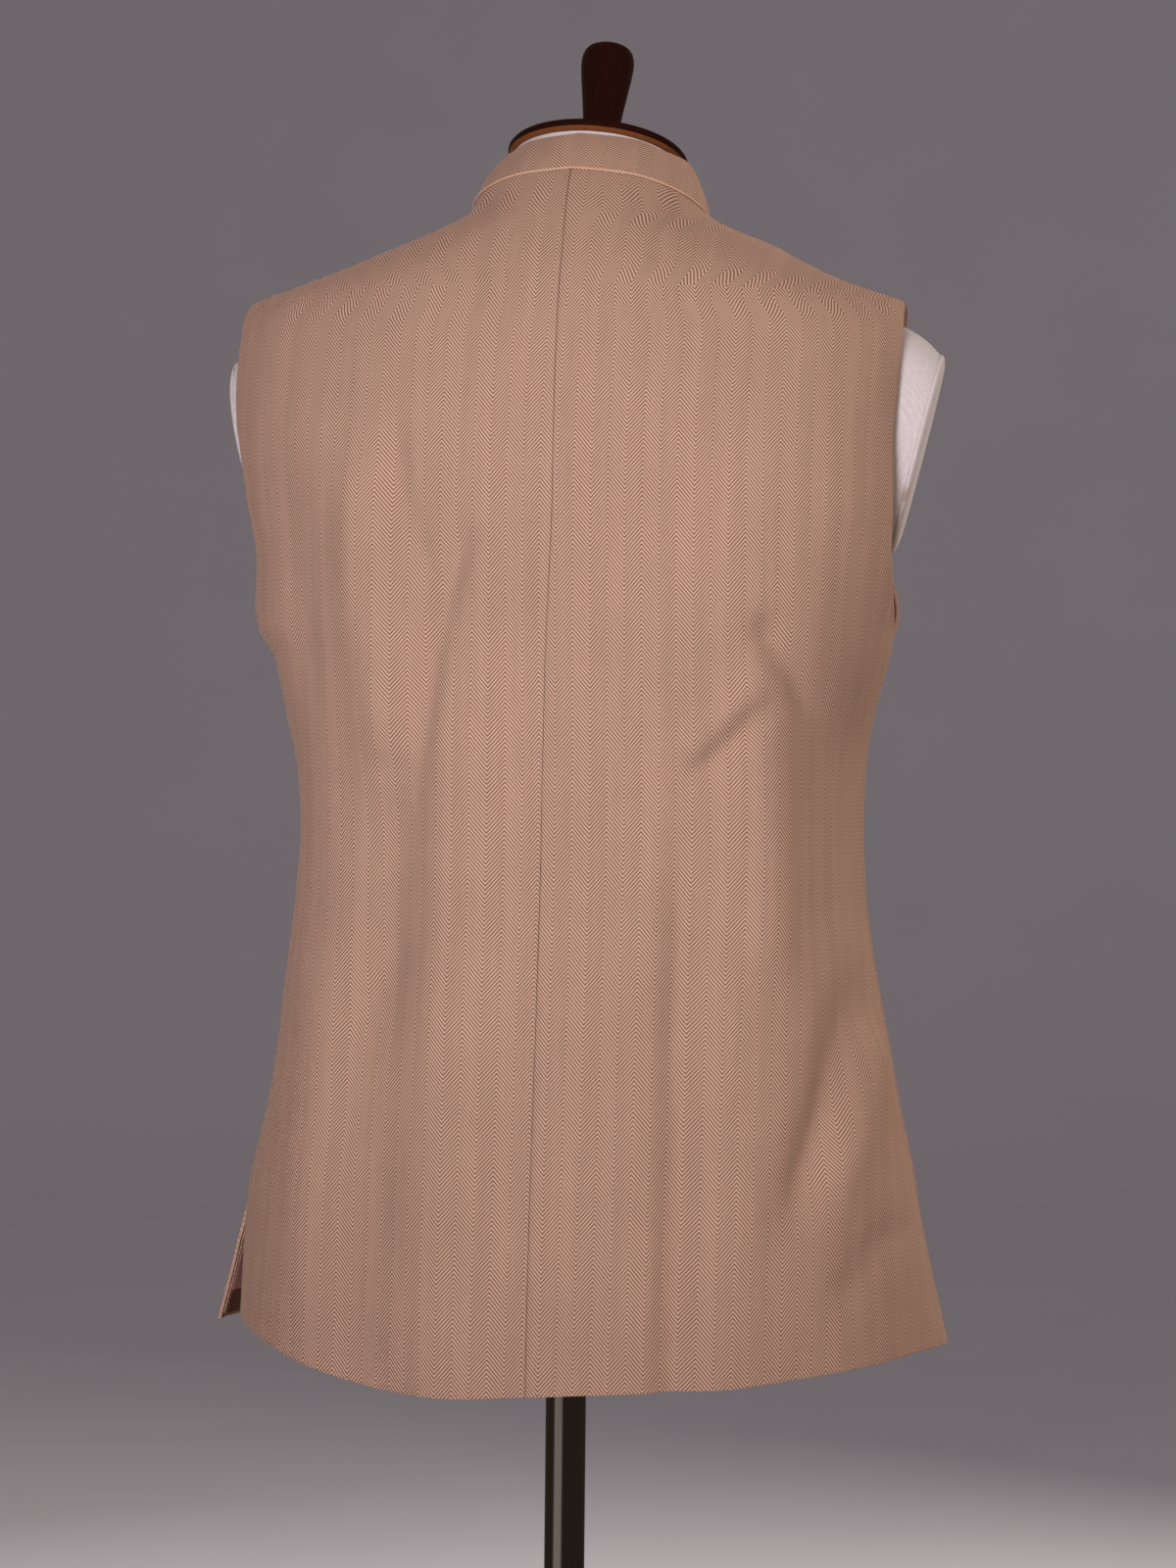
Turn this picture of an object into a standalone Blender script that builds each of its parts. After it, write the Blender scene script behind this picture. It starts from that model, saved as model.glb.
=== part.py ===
"""Waistcoat with a band collar, buttoned on a limbless dress form that stands on a round base.

Metres, +Z up. The pole stands on x = y = 0 and the base's underside is z = 0. The front faces
-Y and the wearer's left side is +X.

A place on the body is a turn and a height. The turn is the angle in degrees from the centre
back (0) round the wearer's left side (90) to the centre front (180), and it is negative on the
right. A panel of cloth is a grid between four edges given in turns and heights: the middle
line, the neckline, the hem, and the outer edge that runs down the shoulder seam, round the
armhole and down the side seam.
"""

import math
from collections import namedtuple

import bmesh
import bpy
import numpy as np
from mathutils import Matrix, Vector

# ---------------------------------------------------------------- driving dimensions

CLOTH_WALL = 0.0022
COLLAR_WALL = 0.0030
LINING_WALL = 0.0010
SEAM_GAP = 0.0003

SHOULDER_TIP = 1.4225
UNDERARM = 1.2170
VENT_TOP = 0.8680
VENT_FOOT = 0.7820
SIDE_SEAM_TURN = 88.0
GARMENT_TURN = -4.0
SEAM_FADE = 14.0
SHOULDER_LEAN = 0.008

COLLAR_HALF_WIDTH = 0.0620
COLLAR_SWAY = 0.0004
COLLAR_BACK_REACH = 0.0580
COLLAR_BOW = 0.0022
COLLAR_GAP = 0.0007
COLLAR_CORNER_DROPS = (0.0060, 0.0012)
COLLAR_FRONT_REACH = 0.0555
COLLAR_CENTRE = -0.0625
COLLAR_END_TURN = 177.0

FRONT_LAP = 0.018
LAP_FLAT = 0.030
LAP_BLEND = 0.030
LAP_LIFT = CLOTH_WALL + 0.0009

PANEL_COLUMNS = 18
COLLAR_COLUMNS = 48
COLLAR_ROWS = 2
NECK_BLEND = 4
FOLD_FADE = 0.28

BUTTON_RADIUS = 0.0095
BUTTON_THICKNESS = 0.0032
BUTTON_HEIGHTS = (1.388, 1.288, 1.188, 1.088, 0.988)

HEM_FACING_HEIGHT = 0.016
LINING_GAP = 0.0008
LINING_INSET = 0.005
LINING_TURN = 26.0
LINING_TOP = 0.100
LINING_COLUMNS = 5
VENT_X = 0.2145
HIP_RADIUS = 0.16

POLE_RADIUS = 0.0125
POLE_FLANGE_RADIUS = 0.055
POLE_FLANGE_THICKNESS = 0.006
BASE_RADIUS = 0.196
BASE_THICKNESS = 0.012
SOCKET_RADIUS = 0.024
SOCKET_HEIGHT = 0.055
TORSO_BOTTOM = 0.815
TORSO_ROWS = 24
TORSO_COLUMNS = 9
ROW_CROWDING = 1.1
SHOULDER_ROWS = 0.22
SHOULDER_DROP = 0.099
TORSO_BLEND = 6
NECK_SHARES = (1.0, 0.72, 0.41)

CAP_CENTRE = Vector((0.0, -0.062, 1.5135))
CAP_TILT = math.radians(16.0)
CAP_RADIUS = 0.0575
CAP_ROLL = math.radians(-2.0)
NECK_RADIUS = 0.0540
NECK_HALF_WIDTH = 0.066
NECK_BACK_REACH = 0.050
NECK_FRONT_REACH = 0.060

# ---------------------------------------------------------------- tables

# height; half width; how far both sides sway to the wearer's left; y of the centre back, of
# the centre front and of the side; fullness, which squares the section off, behind and before.
Section = namedtuple("Section", "height half_width sway back front side full_back full_front")

CLOTH = (
    Section(0.700, 0.2280, -0.0048, 0.1500, -0.1980, -0.024, 0.020, 0.025),
    Section(0.760, 0.2220, -0.0048, 0.1425, -0.1920, -0.024, 0.020, 0.025),
    Section(0.800, 0.2178, -0.0048, 0.1385, -0.1860, -0.024, 0.022, 0.025),
    Section(0.866, 0.2098, -0.0047, 0.1310, -0.1770, -0.024, 0.025, 0.028),
    Section(0.930, 0.1962, -0.0054, 0.1235, -0.1690, -0.024, 0.028, 0.030),
    Section(1.000, 0.1853, -0.0026, 0.1150, -0.1620, -0.025, 0.032, 0.030),
    Section(1.050, 0.1788, -0.0015, 0.1095, -0.1590, -0.025, 0.034, 0.032),
    Section(1.090, 0.1765, -0.0010, 0.1070, -0.1590, -0.026, 0.035, 0.034),
    Section(1.126, 0.1782, -0.0003, 0.1070, -0.1610, -0.027, 0.035, 0.036),
    Section(1.163, 0.1845, 0.0008, 0.1085, -0.1645, -0.028, 0.035, 0.038),
    Section(1.195, 0.1925, 0.0006, 0.1107, -0.1662, -0.028, 0.034, 0.037),
    Section(1.217, 0.2008, 0.0045, 0.1120, -0.1670, -0.029, 0.034, 0.037),
    Section(1.260, 0.2070, 0.0010, 0.1140, -0.1650, -0.030, 0.033, 0.036),
    Section(1.300, 0.2140, 0.0037, 0.1135, -0.1590, -0.029, 0.030, 0.030),
    Section(1.350, 0.2178, 0.0078, 0.1065, -0.1460, -0.027, 0.022, 0.020),
    Section(1.400, 0.2139, 0.0062, 0.0925, -0.1250, -0.024, 0.008, 0.006),
    Section(1.4225, 0.2066, 0.0052, 0.0825, -0.1105, -0.023, 0.0, 0.0),
    Section(1.4242, 0.2012, 0.0050, 0.0816, -0.1096, -0.023, 0.0, 0.0),
    Section(1.434, 0.1679, 0.0026, 0.0760, -0.1035, -0.025, 0.0, 0.0),
    Section(1.446, 0.1415, 0.0004, 0.0685, -0.0950, -0.028, 0.0, 0.0),
    Section(1.460, 0.1140, -0.0006, 0.0590, -0.0840, -0.031, 0.0, 0.0),
    Section(1.472, 0.0800, -0.0050, 0.0490, -0.0735, -0.034, 0.0, 0.0),
    Section(1.479, 0.0732, -0.0008, 0.0430, -0.0680, -0.035, 0.0, 0.0),
    Section(1.487, 0.0712, -0.0006, 0.0355, -0.0610, -0.036, 0.0, 0.0),
    Section(1.501, 0.0660, 0.0005, 0.0200, -0.0500, -0.036, 0.0, 0.0),
    Section(1.515, 0.0600, 0.0, 0.0050, -0.0400, -0.036, 0.0, 0.0),
)

TORSO = (
    Section(0.815, 0.1760, 0.0, 0.1030, -0.1350, -0.022, 0.020, 0.020),
    Section(0.860, 0.1790, 0.0, 0.1090, -0.1420, -0.022, 0.022, 0.022),
    Section(0.920, 0.1770, 0.0, 0.1110, -0.1450, -0.022, 0.025, 0.025),
    Section(0.980, 0.1700, 0.0, 0.1050, -0.1440, -0.023, 0.028, 0.028),
    Section(1.050, 0.1620, 0.0, 0.0970, -0.1440, -0.024, 0.030, 0.030),
    Section(1.100, 0.1610, 0.0, 0.0960, -0.1480, -0.025, 0.030, 0.032),
    Section(1.160, 0.1680, 0.0, 0.1000, -0.1550, -0.027, 0.032, 0.034),
    Section(1.217, 0.1770, 0.0, 0.1040, -0.1590, -0.028, 0.034, 0.036),
    Section(1.260, 0.1820, 0.0, 0.1060, -0.1570, -0.029, 0.034, 0.034),
    Section(1.300, 0.1860, 0.0, 0.1055, -0.1510, -0.029, 0.030, 0.028),
    Section(1.350, 0.1890, 0.0, 0.0990, -0.1385, -0.027, 0.022, 0.018),
    Section(1.390, 0.1895, 0.0, 0.0880, -0.1220, -0.025, 0.008, 0.006),
    Section(1.408, 0.1875, 0.0, 0.0818, -0.1123, -0.024, 0.002, 0.002),
    Section(1.418, 0.1830, 0.0, 0.0775, -0.1062, -0.024, 0.0, 0.0),
    Section(1.4245, 0.1720, 0.0, 0.0742, -0.1022, -0.025, 0.0, 0.0),
    Section(1.430, 0.1600, 0.0, 0.0710, -0.0988, -0.026, 0.0, 0.0),
    Section(1.4415, 0.1370, 0.0, 0.0640, -0.0912, -0.028, 0.0, 0.0),
    Section(1.455, 0.1115, 0.0, 0.0552, -0.0810, -0.031, 0.0, 0.0),
    Section(1.466, 0.0795, 0.0, 0.0445, -0.0705, -0.034, 0.0, 0.0),
    Section(1.472, 0.0705, 0.0, 0.0380, -0.0645, -0.035, 0.0, 0.0),
    Section(1.478, 0.0655, 0.0, 0.0310, -0.0590, -0.036, 0.0, 0.0),
    Section(1.492, 0.0605, 0.0, 0.0130, -0.0480, -0.036, 0.0, 0.0),
)

# Height of the hem at places across the back and the front.
HemPlace = namedtuple("HemPlace", "x back front")

HEM = (
    HemPlace(-0.240, 0.7830, 0.7860),
    HemPlace(-0.225, 0.7768, 0.7790),
    HemPlace(-0.200, 0.7730, 0.7720),
    HemPlace(-0.156, 0.7680, 0.7620),
    HemPlace(-0.120, 0.7638, 0.7560),
    HemPlace(-0.060, 0.7610, 0.7500),
    HemPlace(0.000, 0.7572, 0.7480),
    HemPlace(0.040, 0.7550, 0.7490),
    HemPlace(0.080, 0.7567, 0.7510),
    HemPlace(0.120, 0.7630, 0.7560),
    HemPlace(0.155, 0.7735, 0.7620),
    HemPlace(0.180, 0.7815, 0.7680),
    HemPlace(0.205, 0.7888, 0.7770),
    HemPlace(0.230, 0.7945, 0.7825),
)

# Share of the way down from the shoulder tip to the underarm; how many degrees of turn the
# armhole is cut into the back panel and into the front panel there.
ArmholePlace = namedtuple("ArmholePlace", "share back_cut front_cut")

ARMHOLE = (
    ArmholePlace(0.00, 0.0, 0.0),
    ArmholePlace(0.05, 8.0, 11.0),
    ArmholePlace(0.14, 13.0, 23.0),
    ArmholePlace(0.30, 17.5, 32.0),
    ArmholePlace(0.45, 20.0, 36.0),
    ArmholePlace(0.60, 20.5, 37.0),
    ArmholePlace(0.74, 19.0, 33.0),
    ArmholePlace(0.86, 14.0, 23.0),
    ArmholePlace(0.95, 6.5, 10.0),
    ArmholePlace(1.00, 0.0, 0.0),
)

# Height of the neckline at angles round the neck, and of the collar's top edge there.
NeckPlace = namedtuple("NeckPlace", "angle neckline collar_top")

NECKLINE = (
    NeckPlace(0.0, 1.5006, 1.5257),
    NeckPlace(32.0, 1.4972, 1.5225),
    NeckPlace(52.0, 1.4918, 1.5172),
    NeckPlace(75.0, 1.4842, 1.5135),
    NeckPlace(90.0, 1.4790, 1.5105),
    NeckPlace(135.0, 1.4520, 1.4900),
    NeckPlace(180.0, 1.4300, 1.4685),
)

# Where the centre-back seam lies: height, and x from the middle.
SeamPlace = namedtuple("SeamPlace", "height x")

CENTRE_BACK = (
    SeamPlace(0.750, -0.0028),
    SeamPlace(0.900, -0.0018),
    SeamPlace(1.100, -0.0018),
    SeamPlace(1.178, -0.0030),
    SeamPlace(1.295, -0.0070),
    SeamPlace(1.447, -0.0036),
    SeamPlace(1.500, 0.0008),
    SeamPlace(1.515, 0.0010),
)

# A fold's middle line passes three places (x, height); half its width, and how far it stands
# out, or sinks where that is negative.
Fold = namedtuple("Fold", "face top_x top_z mid_x mid_z low_x low_z half_width rise")
BACK = 1
FRONT = -1

FOLDS = (
    Fold(BACK, 0.038, 1.268, 0.066, 1.205, 0.069, 1.080, 0.015, -0.0065),
    Fold(BACK, 0.069, 1.150, 0.080, 1.045, 0.099, 0.955, 0.016, -0.0045),
    Fold(BACK, 0.104, 1.320, 0.097, 1.215, 0.093, 1.110, 0.020, 0.0045),
    Fold(BACK, 0.052, 1.160, 0.049, 1.000, 0.048, 0.640, 0.020, 0.0035),
    Fold(BACK, -0.081, 1.150, -0.085, 0.945, -0.086, 0.640, 0.015, -0.0040),
    Fold(BACK, -0.118, 1.190, -0.118, 0.950, -0.120, 0.640, 0.024, 0.0040),
    Fold(BACK, -0.168, 1.240, -0.170, 1.130, -0.168, 1.030, 0.018, -0.0045),
    Fold(BACK, -0.198, 1.050, -0.177, 0.935, -0.152, 0.825, 0.021, -0.0065),
    Fold(FRONT, 0.088, 1.215, 0.078, 1.010, 0.092, 0.640, 0.018, -0.0040),
    Fold(FRONT, 0.136, 1.180, 0.140, 1.000, 0.152, 0.640, 0.022, 0.0035),
    Fold(FRONT, -0.098, 1.235, -0.086, 1.030, -0.074, 0.640, 0.018, -0.0035),
    Fold(FRONT, -0.142, 1.170, -0.152, 0.990, -0.146, 0.640, 0.021, 0.0040),
)

# Below the side vents each panel's free corner swings out (or in) by this much at the hem.
Corner = namedtuple("Corner", "face side swing reach")

CORNERS = (
    Corner(BACK, 1, -0.0065, 32.0),
    Corner(FRONT, 1, 0.0120, 26.0),
    Corner(BACK, -1, 0.0090, 18.0),
    Corner(FRONT, -1, -0.0060, 24.0),
)

# Rows of a panel's grid between the marks of its outer edge, and the height of the middle
# line at each mark, as a share of the way from neck to hem.
EdgeSpan = namedtuple("EdgeSpan", "name rows back_share front_share")

EDGE_SPANS = (
    EdgeSpan("shoulder", 5, 0.125, 0.075),
    EdgeSpan("armhole", 8, 0.385, 0.315),
    EdgeSpan("side", 15, 1.0, 1.0),
)

Finish = namedtuple("Finish", "name colour roughness metallic")

WORSTED = Finish("tan_herringbone_wool", (0.435, 0.253, 0.171), 0.85, 0.0)
SATIN = Finish("pink_satin_lining", (0.480, 0.225, 0.195), 0.45, 0.0)
FACING = Finish("brown_hem_facing", (0.190, 0.095, 0.058), 0.88, 0.0)
HORN = Finish("brown_horn_button", (0.115, 0.058, 0.036), 0.35, 0.0)
CANVAS = Finish("cream_canvas", (0.585, 0.485, 0.425), 0.80, 0.0)
DARK_WOOD = Finish("dark_polished_wood", (0.022, 0.007, 0.004), 0.22, 0.0)
STEEL = Finish("brushed_steel", (0.420, 0.410, 0.400), 0.28, 1.0)


# ---------------------------------------------------------------- curves and surfaces


def smooth(places, values, at):
    """The values at the places asked for, on a smooth curve that doesn't overshoot them."""
    x = np.asarray(places, float)
    y = np.asarray(values, float)
    slope = np.diff(y) / np.diff(x)
    tangent = np.concatenate([slope[:1], np.zeros(len(x) - 2), slope[-1:]])
    same = slope[:-1] * slope[1:] > 0
    total = np.where(same, slope[:-1] + slope[1:], 1.0)
    tangent[1:-1] = np.where(same, 2 * slope[:-1] * slope[1:] / total, 0.0)
    at = np.clip(at, x[0], x[-1])
    low = np.clip(np.searchsorted(x, at, side="right") - 1, 0, len(x) - 2)
    step = x[low + 1] - x[low]
    s = (at - x[low]) / step
    rest = 1 - s
    ends = y[low] * rest * rest * (1 + 2 * s) + y[low + 1] * s * s * (3 - 2 * s)
    return ends + step * (tangent[low] * s * rest * rest - tangent[low + 1] * s * s * rest)


def column(table, name, at, key="height"):
    """One named column of a table, read at the places asked for."""
    return smooth([getattr(row, key) for row in table], [getattr(row, name) for row in table], at)


def ease(share):
    """0 to 1 with level ends."""
    share = np.clip(share, 0.0, 1.0)
    return share * share * (3 - 2 * share)


def section_point(table, turn, height):
    """The point of a body section, and its outward direction in plan."""
    angle = np.radians(turn)
    behind = np.cos(angle) >= 0
    side = column(table, "side", height)
    half_width = column(table, "half_width", height)
    depth_behind = column(table, "back", height) - side
    depth_before = side - column(table, "front", height)
    depth = np.where(behind, depth_behind, depth_before)
    full_behind = column(table, "full_back", height)
    full = np.where(behind, full_behind, column(table, "full_front", height))
    sway = column(table, "sway", height) * np.sin(angle) ** 2
    x = sway + half_width * (np.sin(angle) + full * np.sin(3 * angle)) / (1 - full)
    y = side + depth * (np.cos(angle) - full * np.cos(3 * angle)) / (1 - full)
    out = np.stack([np.sin(angle) / half_width, np.cos(angle) / depth], -1)
    out /= np.linalg.norm(out, axis=-1, keepdims=True)
    return x, y, out


def seam_turn(side):
    """Turn of a side seam. The garment hangs turned a little on the form."""
    return side * SIDE_SEAM_TURN + GARMENT_TURN


def fold_rise(x, turn, height, face):
    """How far the folds move the cloth outwards. They die away towards the side seams."""
    rise = np.zeros_like(x)
    for fold in FOLDS:
        heights = (fold.low_z, fold.mid_z, fold.top_z)
        middle = smooth(heights, (fold.low_x, fold.mid_x, fold.top_x), height)
        fade = FOLD_FADE * (fold.top_z - fold.low_z)
        inside = ease((fold.top_z - height) / fade) * ease((height - fold.low_z) / fade)
        across = np.exp(-(((x - middle) / fold.half_width) ** 2))
        rise = rise + np.where(face == fold.face, fold.rise * inside * across, 0.0)
    from_seam = np.minimum(np.abs(turn - seam_turn(1)), np.abs(turn - seam_turn(-1)))
    return rise * ease(from_seam / SEAM_FADE)


def cloth_point(turn, height, face, lift=0.0):
    """A point of the garment's outside. The face is BACK or FRONT, or an array of them."""
    x, y, out = section_point(CLOTH, turn, height)
    rise = fold_rise(x, turn, height, face) + lift
    x = x + out[..., 0] * rise
    y = y + out[..., 1] * rise
    hang = np.clip((VENT_TOP - height) / (VENT_TOP - VENT_FOOT), 0.0, 1.2) ** 1.2
    for corner in CORNERS:
        away = np.abs(turn - seam_turn(corner.side)) / corner.reach
        here = (face == corner.face) & (np.sign(turn) == corner.side)
        swing = corner.swing * hang * ease(1 - away)
        x = x + np.where(here, corner.side * swing, 0.0)
    lean = SHOULDER_LEAN * x * ease((height - UNDERARM) / (SHOULDER_TIP - UNDERARM))
    return np.stack([x, y, height + lean], -1)


def normals_of(surface, turn, height):
    """Outward unit normals of a surface that is a function of turn and height."""
    step_turn = 0.4
    step_height = 0.0012
    across = surface(turn + step_turn, height) - surface(turn - step_turn, height)
    along = surface(turn, height + step_height) - surface(turn, height - step_height)
    normal = np.cross(along, across)
    return normal / np.linalg.norm(normal, axis=-1, keepdims=True)


def neck_place(angle):
    """Turn and height where the oval foot of the form's neck, seen from above, lies on it."""
    centre = column(TORSO, "side", column_height(TORSO, NECK_HALF_WIDTH))
    reach = np.where(np.cos(angle) >= 0, NECK_BACK_REACH, NECK_FRONT_REACH)
    x = NECK_HALF_WIDTH * np.sin(angle)
    y = centre + reach * np.cos(angle)
    low = np.full_like(angle, 1.400)
    high = np.full_like(angle, TORSO[-1].height)
    for _ in range(40):
        middle = (low + high) / 2
        outside = np.hypot(*plan_shares(TORSO, x, y, middle)) > 1
        high = np.where(outside, middle, high)
        low = np.where(outside, low, middle)
    height = (low + high) / 2
    return np.degrees(np.arctan2(*plan_shares(TORSO, x, y, height))), height


def column_height(table, half_width):
    """The shoulder height at which a body is this wide."""
    rows = [row for row in table if row.height > 1.41]
    widths = [row.half_width for row in reversed(rows)]
    heights = [row.height for row in reversed(rows)]
    return smooth(widths, heights, half_width)


def plan_shares(table, x, y, height):
    """How far out a plan point lies each way, as shares of the body's section at a height."""
    side = column(table, "side", height)
    depth = np.where(y >= side, column(table, "back", height) - side, side - column(table, "front", height))
    return x / column(table, "half_width", height), (y - side) / depth


# ---------------------------------------------------------------- panels


def outer_edge(face, side):
    """Turn and height of every row on a panel's outer edge, from neck to hem."""
    seam = side * seam_turn(side)
    turns = [90.0]
    heights = [neckline_height(90.0)]
    for span in EDGE_SPANS:
        for row in range(1, span.rows + 1):
            share = row / span.rows
            if span.name == "shoulder":
                turns.append(90.0)
                heights.append(shoulder_height(share))
            elif span.name == "armhole":
                share = (share + (1 - math.cos(math.pi * share)) / 2) / 2
                cut = float(column(ARMHOLE, "back_cut" if face == BACK else "front_cut", share, "share"))
                turns.append(90.0 + share * (seam - 90.0) - face * cut)
                heights.append(SHOULDER_TIP + share * (UNDERARM - SHOULDER_TIP))
            else:
                turns.append(seam)
                heights.append(UNDERARM + share * (hem_height(face, side * VENT_X) - UNDERARM))
    return np.array(turns), np.array(heights)


def shoulder_height(share):
    """Height on the shoulder seam, at a share of its breadth from the neck to the tip."""
    tip = float(column(CLOTH, "half_width", SHOULDER_TIP))
    return float(column_height(CLOTH, neck_width() + share * (tip - neck_width())))


def middle_line(face):
    """Heights of every row on the centre back or centre front line, from neck to hem."""
    top = neckline_height(0.0 if face == BACK else 180.0)
    bottom = hem_height(face, 0.0)
    shares = [0.0]
    for span in EDGE_SPANS:
        end = span.back_share if face == BACK else span.front_share
        start = shares[-1]
        shares += [start + (end - start) * row / span.rows for row in range(1, span.rows + 1)]
    return top + np.array(shares) * (bottom - top)


def hem_height(face, x):
    """Height of the hem, which is lowest near the middle and rises to the sides."""
    return column(HEM, "back" if face == BACK else "front", x, "x")


def panel_places(face, side):
    """Turns and heights of a panel's grid, rows from neck to hem, columns from the middle out."""
    edge_turn, edge_height = outer_edge(face, side)
    middle_height = middle_line(face)
    along = np.linspace(0, 1, PANEL_COLUMNS + 1)
    if face == BACK:
        middle = np.zeros_like(middle_height)
    else:
        middle = 180 + np.degrees(FRONT_LAP / column(CLOTH, "half_width", middle_height))
    down = np.linspace(0, 1, len(edge_turn))[:, None]
    turns = middle[:, None] + along * (edge_turn - middle)[:, None]
    heights = middle_height[:, None] + along * (edge_height - middle_height)[:, None]
    lap = math.degrees(math.asin(FRONT_LAP / neck_width()))
    neck_turn, neck_height = neckline(90 * along if face == BACK else 180 + lap - (90 + lap) * along)
    top_share = (1 - down) ** NECK_BLEND
    turns = turns + top_share * (neck_turn - turns[0])
    heights = heights + top_share * (neck_height - heights[0])
    turns = turns * side
    if face == BACK:
        turns = turns + centre_back_shift(heights) * (1 - along) ** 3
    hem_x = section_point(CLOTH, turns[-1], heights[-1])[0]
    heights = heights + ease((down - 0.5) / 0.5) * (hem_height(face, hem_x) - heights[-1])
    return turns, heights


def neckline_height(angle):
    """Height of the neckline at one angle round the neck."""
    return float(column(NECKLINE, "neckline", angle, "angle"))


def neck_width():
    """Half the breadth of the neckline, from side to side."""
    return float(column(CLOTH, "half_width", neckline_height(90.0)))


def neckline(angle):
    """Turn and height of the neckline at angles round the neck. Past 180 it goes on over the lap.

    In front it keeps the breadth that it has at the sides, while the body there grows wider.
    """
    height = column(NECKLINE, "neckline", np.minimum(angle, 360 - angle), "angle")
    share = np.sin(np.radians(angle)) * neck_width() / column(CLOTH, "half_width", height)
    before = 180 - np.degrees(np.arcsin(np.clip(share, -1.0, 1.0)))
    return np.where(angle <= 90, angle, before), height


def centre_back_shift(heights):
    """The centre-back seam strays a little to the right between the shoulder blades."""
    places = [row.height for row in CENTRE_BACK]
    strays = [row.x for row in CENTRE_BACK]
    return np.degrees(smooth(places, strays, heights) / column(CLOTH, "half_width", heights))


def lap_lift(turn, height):
    """How far the left front is lifted to lie over the right one. It is zero elsewhere."""
    from_middle = np.radians(np.maximum(0.0, 180 - turn)) * column(CLOTH, "half_width", height)
    return LAP_LIFT * ease((LAP_FLAT + LAP_BLEND - from_middle) / LAP_BLEND)


def trimmed(points, amount, edge):
    """Moves a grid's first or last column or row inwards along the cloth by an amount."""
    moved = points.copy()
    first, second = {"middle": ((slice(None), 0), (slice(None), 1)),
                     "outer": ((slice(None), -1), (slice(None), -2)),
                     "top": (0, 1)}[edge]
    way = points[second] - points[first]
    way /= np.linalg.norm(way, axis=-1, keepdims=True)
    moved[first] = points[first] + amount * way
    return moved


def cloth_panel(name, face, side):
    """One quarter of the garment, a wall of cloth with its outside on the worn surface."""
    turns, heights = panel_places(face, side)
    lapped = face == FRONT and side == 1

    def surface(turn, height):
        lift = lap_lift(turn, height) if lapped else 0.0
        return cloth_point(turn, height, np.full(np.shape(turn), face), lift)

    outer = surface(turns, heights)
    inner = outer - CLOTH_WALL * normals_of(surface, turns, heights)
    for edge in ("outer", "top") + (("middle",) if face == BACK else ()):
        outer = trimmed(outer, SEAM_GAP / 2, edge)
        inner = trimmed(inner, SEAM_GAP / 2, edge)
    return wall(name, outer, inner, WORSTED)


# ---------------------------------------------------------------- makers


def material_for(finish):
    """The Principled material of a finish, made once."""
    found = bpy.data.materials.get(finish.name)
    if found:
        return found
    material = bpy.data.materials.new(finish.name)
    material.use_nodes = True
    shader = material.node_tree.nodes["Principled BSDF"]
    shader.inputs["Base Color"].default_value = (*finish.colour, 1.0)
    shader.inputs["Roughness"].default_value = finish.roughness
    shader.inputs["Metallic"].default_value = finish.metallic
    return material


def finished(name, mesh_source, finish, sharp_angle=40.0):
    """Turns a bmesh into a named object with its material, shaded smooth up to an angle."""
    bmesh.ops.recalc_face_normals(mesh_source, faces=mesh_source.faces[:])
    mesh = bpy.data.meshes.new(name)
    mesh_source.to_mesh(mesh)
    mesh_source.free()
    mesh.shade_smooth()
    mesh.set_sharp_from_angle(angle=math.radians(sharp_angle))
    mesh.materials.append(material_for(finish))
    made = bpy.data.objects.new(name, mesh)
    bpy.context.scene.collection.objects.link(made)
    return made


def wall(name, outer, inner, finish):
    """A closed wall: a grid laid on the outer points, and extruded to the inner ones."""
    rows, columns = outer.shape[:2]
    source = bmesh.new()
    place = source.verts.layers.int.new("place")
    grid = bmesh.ops.create_grid(source, x_segments=columns - 1, y_segments=rows - 1, size=1)
    for index, vert in enumerate(grid["verts"]):
        vert[place] = index
        vert.co = outer[divmod(index, columns)]
    sheet = source.faces[:]
    extruded = bmesh.ops.extrude_face_region(source, geom=sheet, use_keep_orig=True)
    for item in extruded["geom"]:
        if isinstance(item, bmesh.types.BMVert):
            item.co = inner[divmod(item[place], columns)]
    return finished(name, source, finish)


def loft(name, rings, finish, sharp_angle=40.0):
    """A closed solid through rings of points, with a flat cap on each end ring."""
    source = bmesh.new()
    loops = [[source.verts.new(point) for point in ring] for ring in rings]
    count = len(rings[0])
    for lower, upper in zip(loops, loops[1:]):
        for index in range(count):
            after = (index + 1) % count
            source.faces.new((lower[index], lower[after], upper[after], upper[index]))
    source.faces.new(loops[0])
    source.faces.new(loops[-1])
    return finished(name, source, finish, sharp_angle)


def turned(name, profile, finish, place, sides=32, sharp_angle=40.0):
    """A turned solid: a profile of (radius, height) rows, upright in the place's own frame."""
    rings = []
    for radius, height in profile:
        angles = [2 * math.pi * index / sides for index in range(sides)]
        rings.append([place @ Vector((radius * math.cos(a), radius * math.sin(a), height)) for a in angles])
    return loft(name, rings, finish, sharp_angle)


# ---------------------------------------------------------------- pieces


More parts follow.
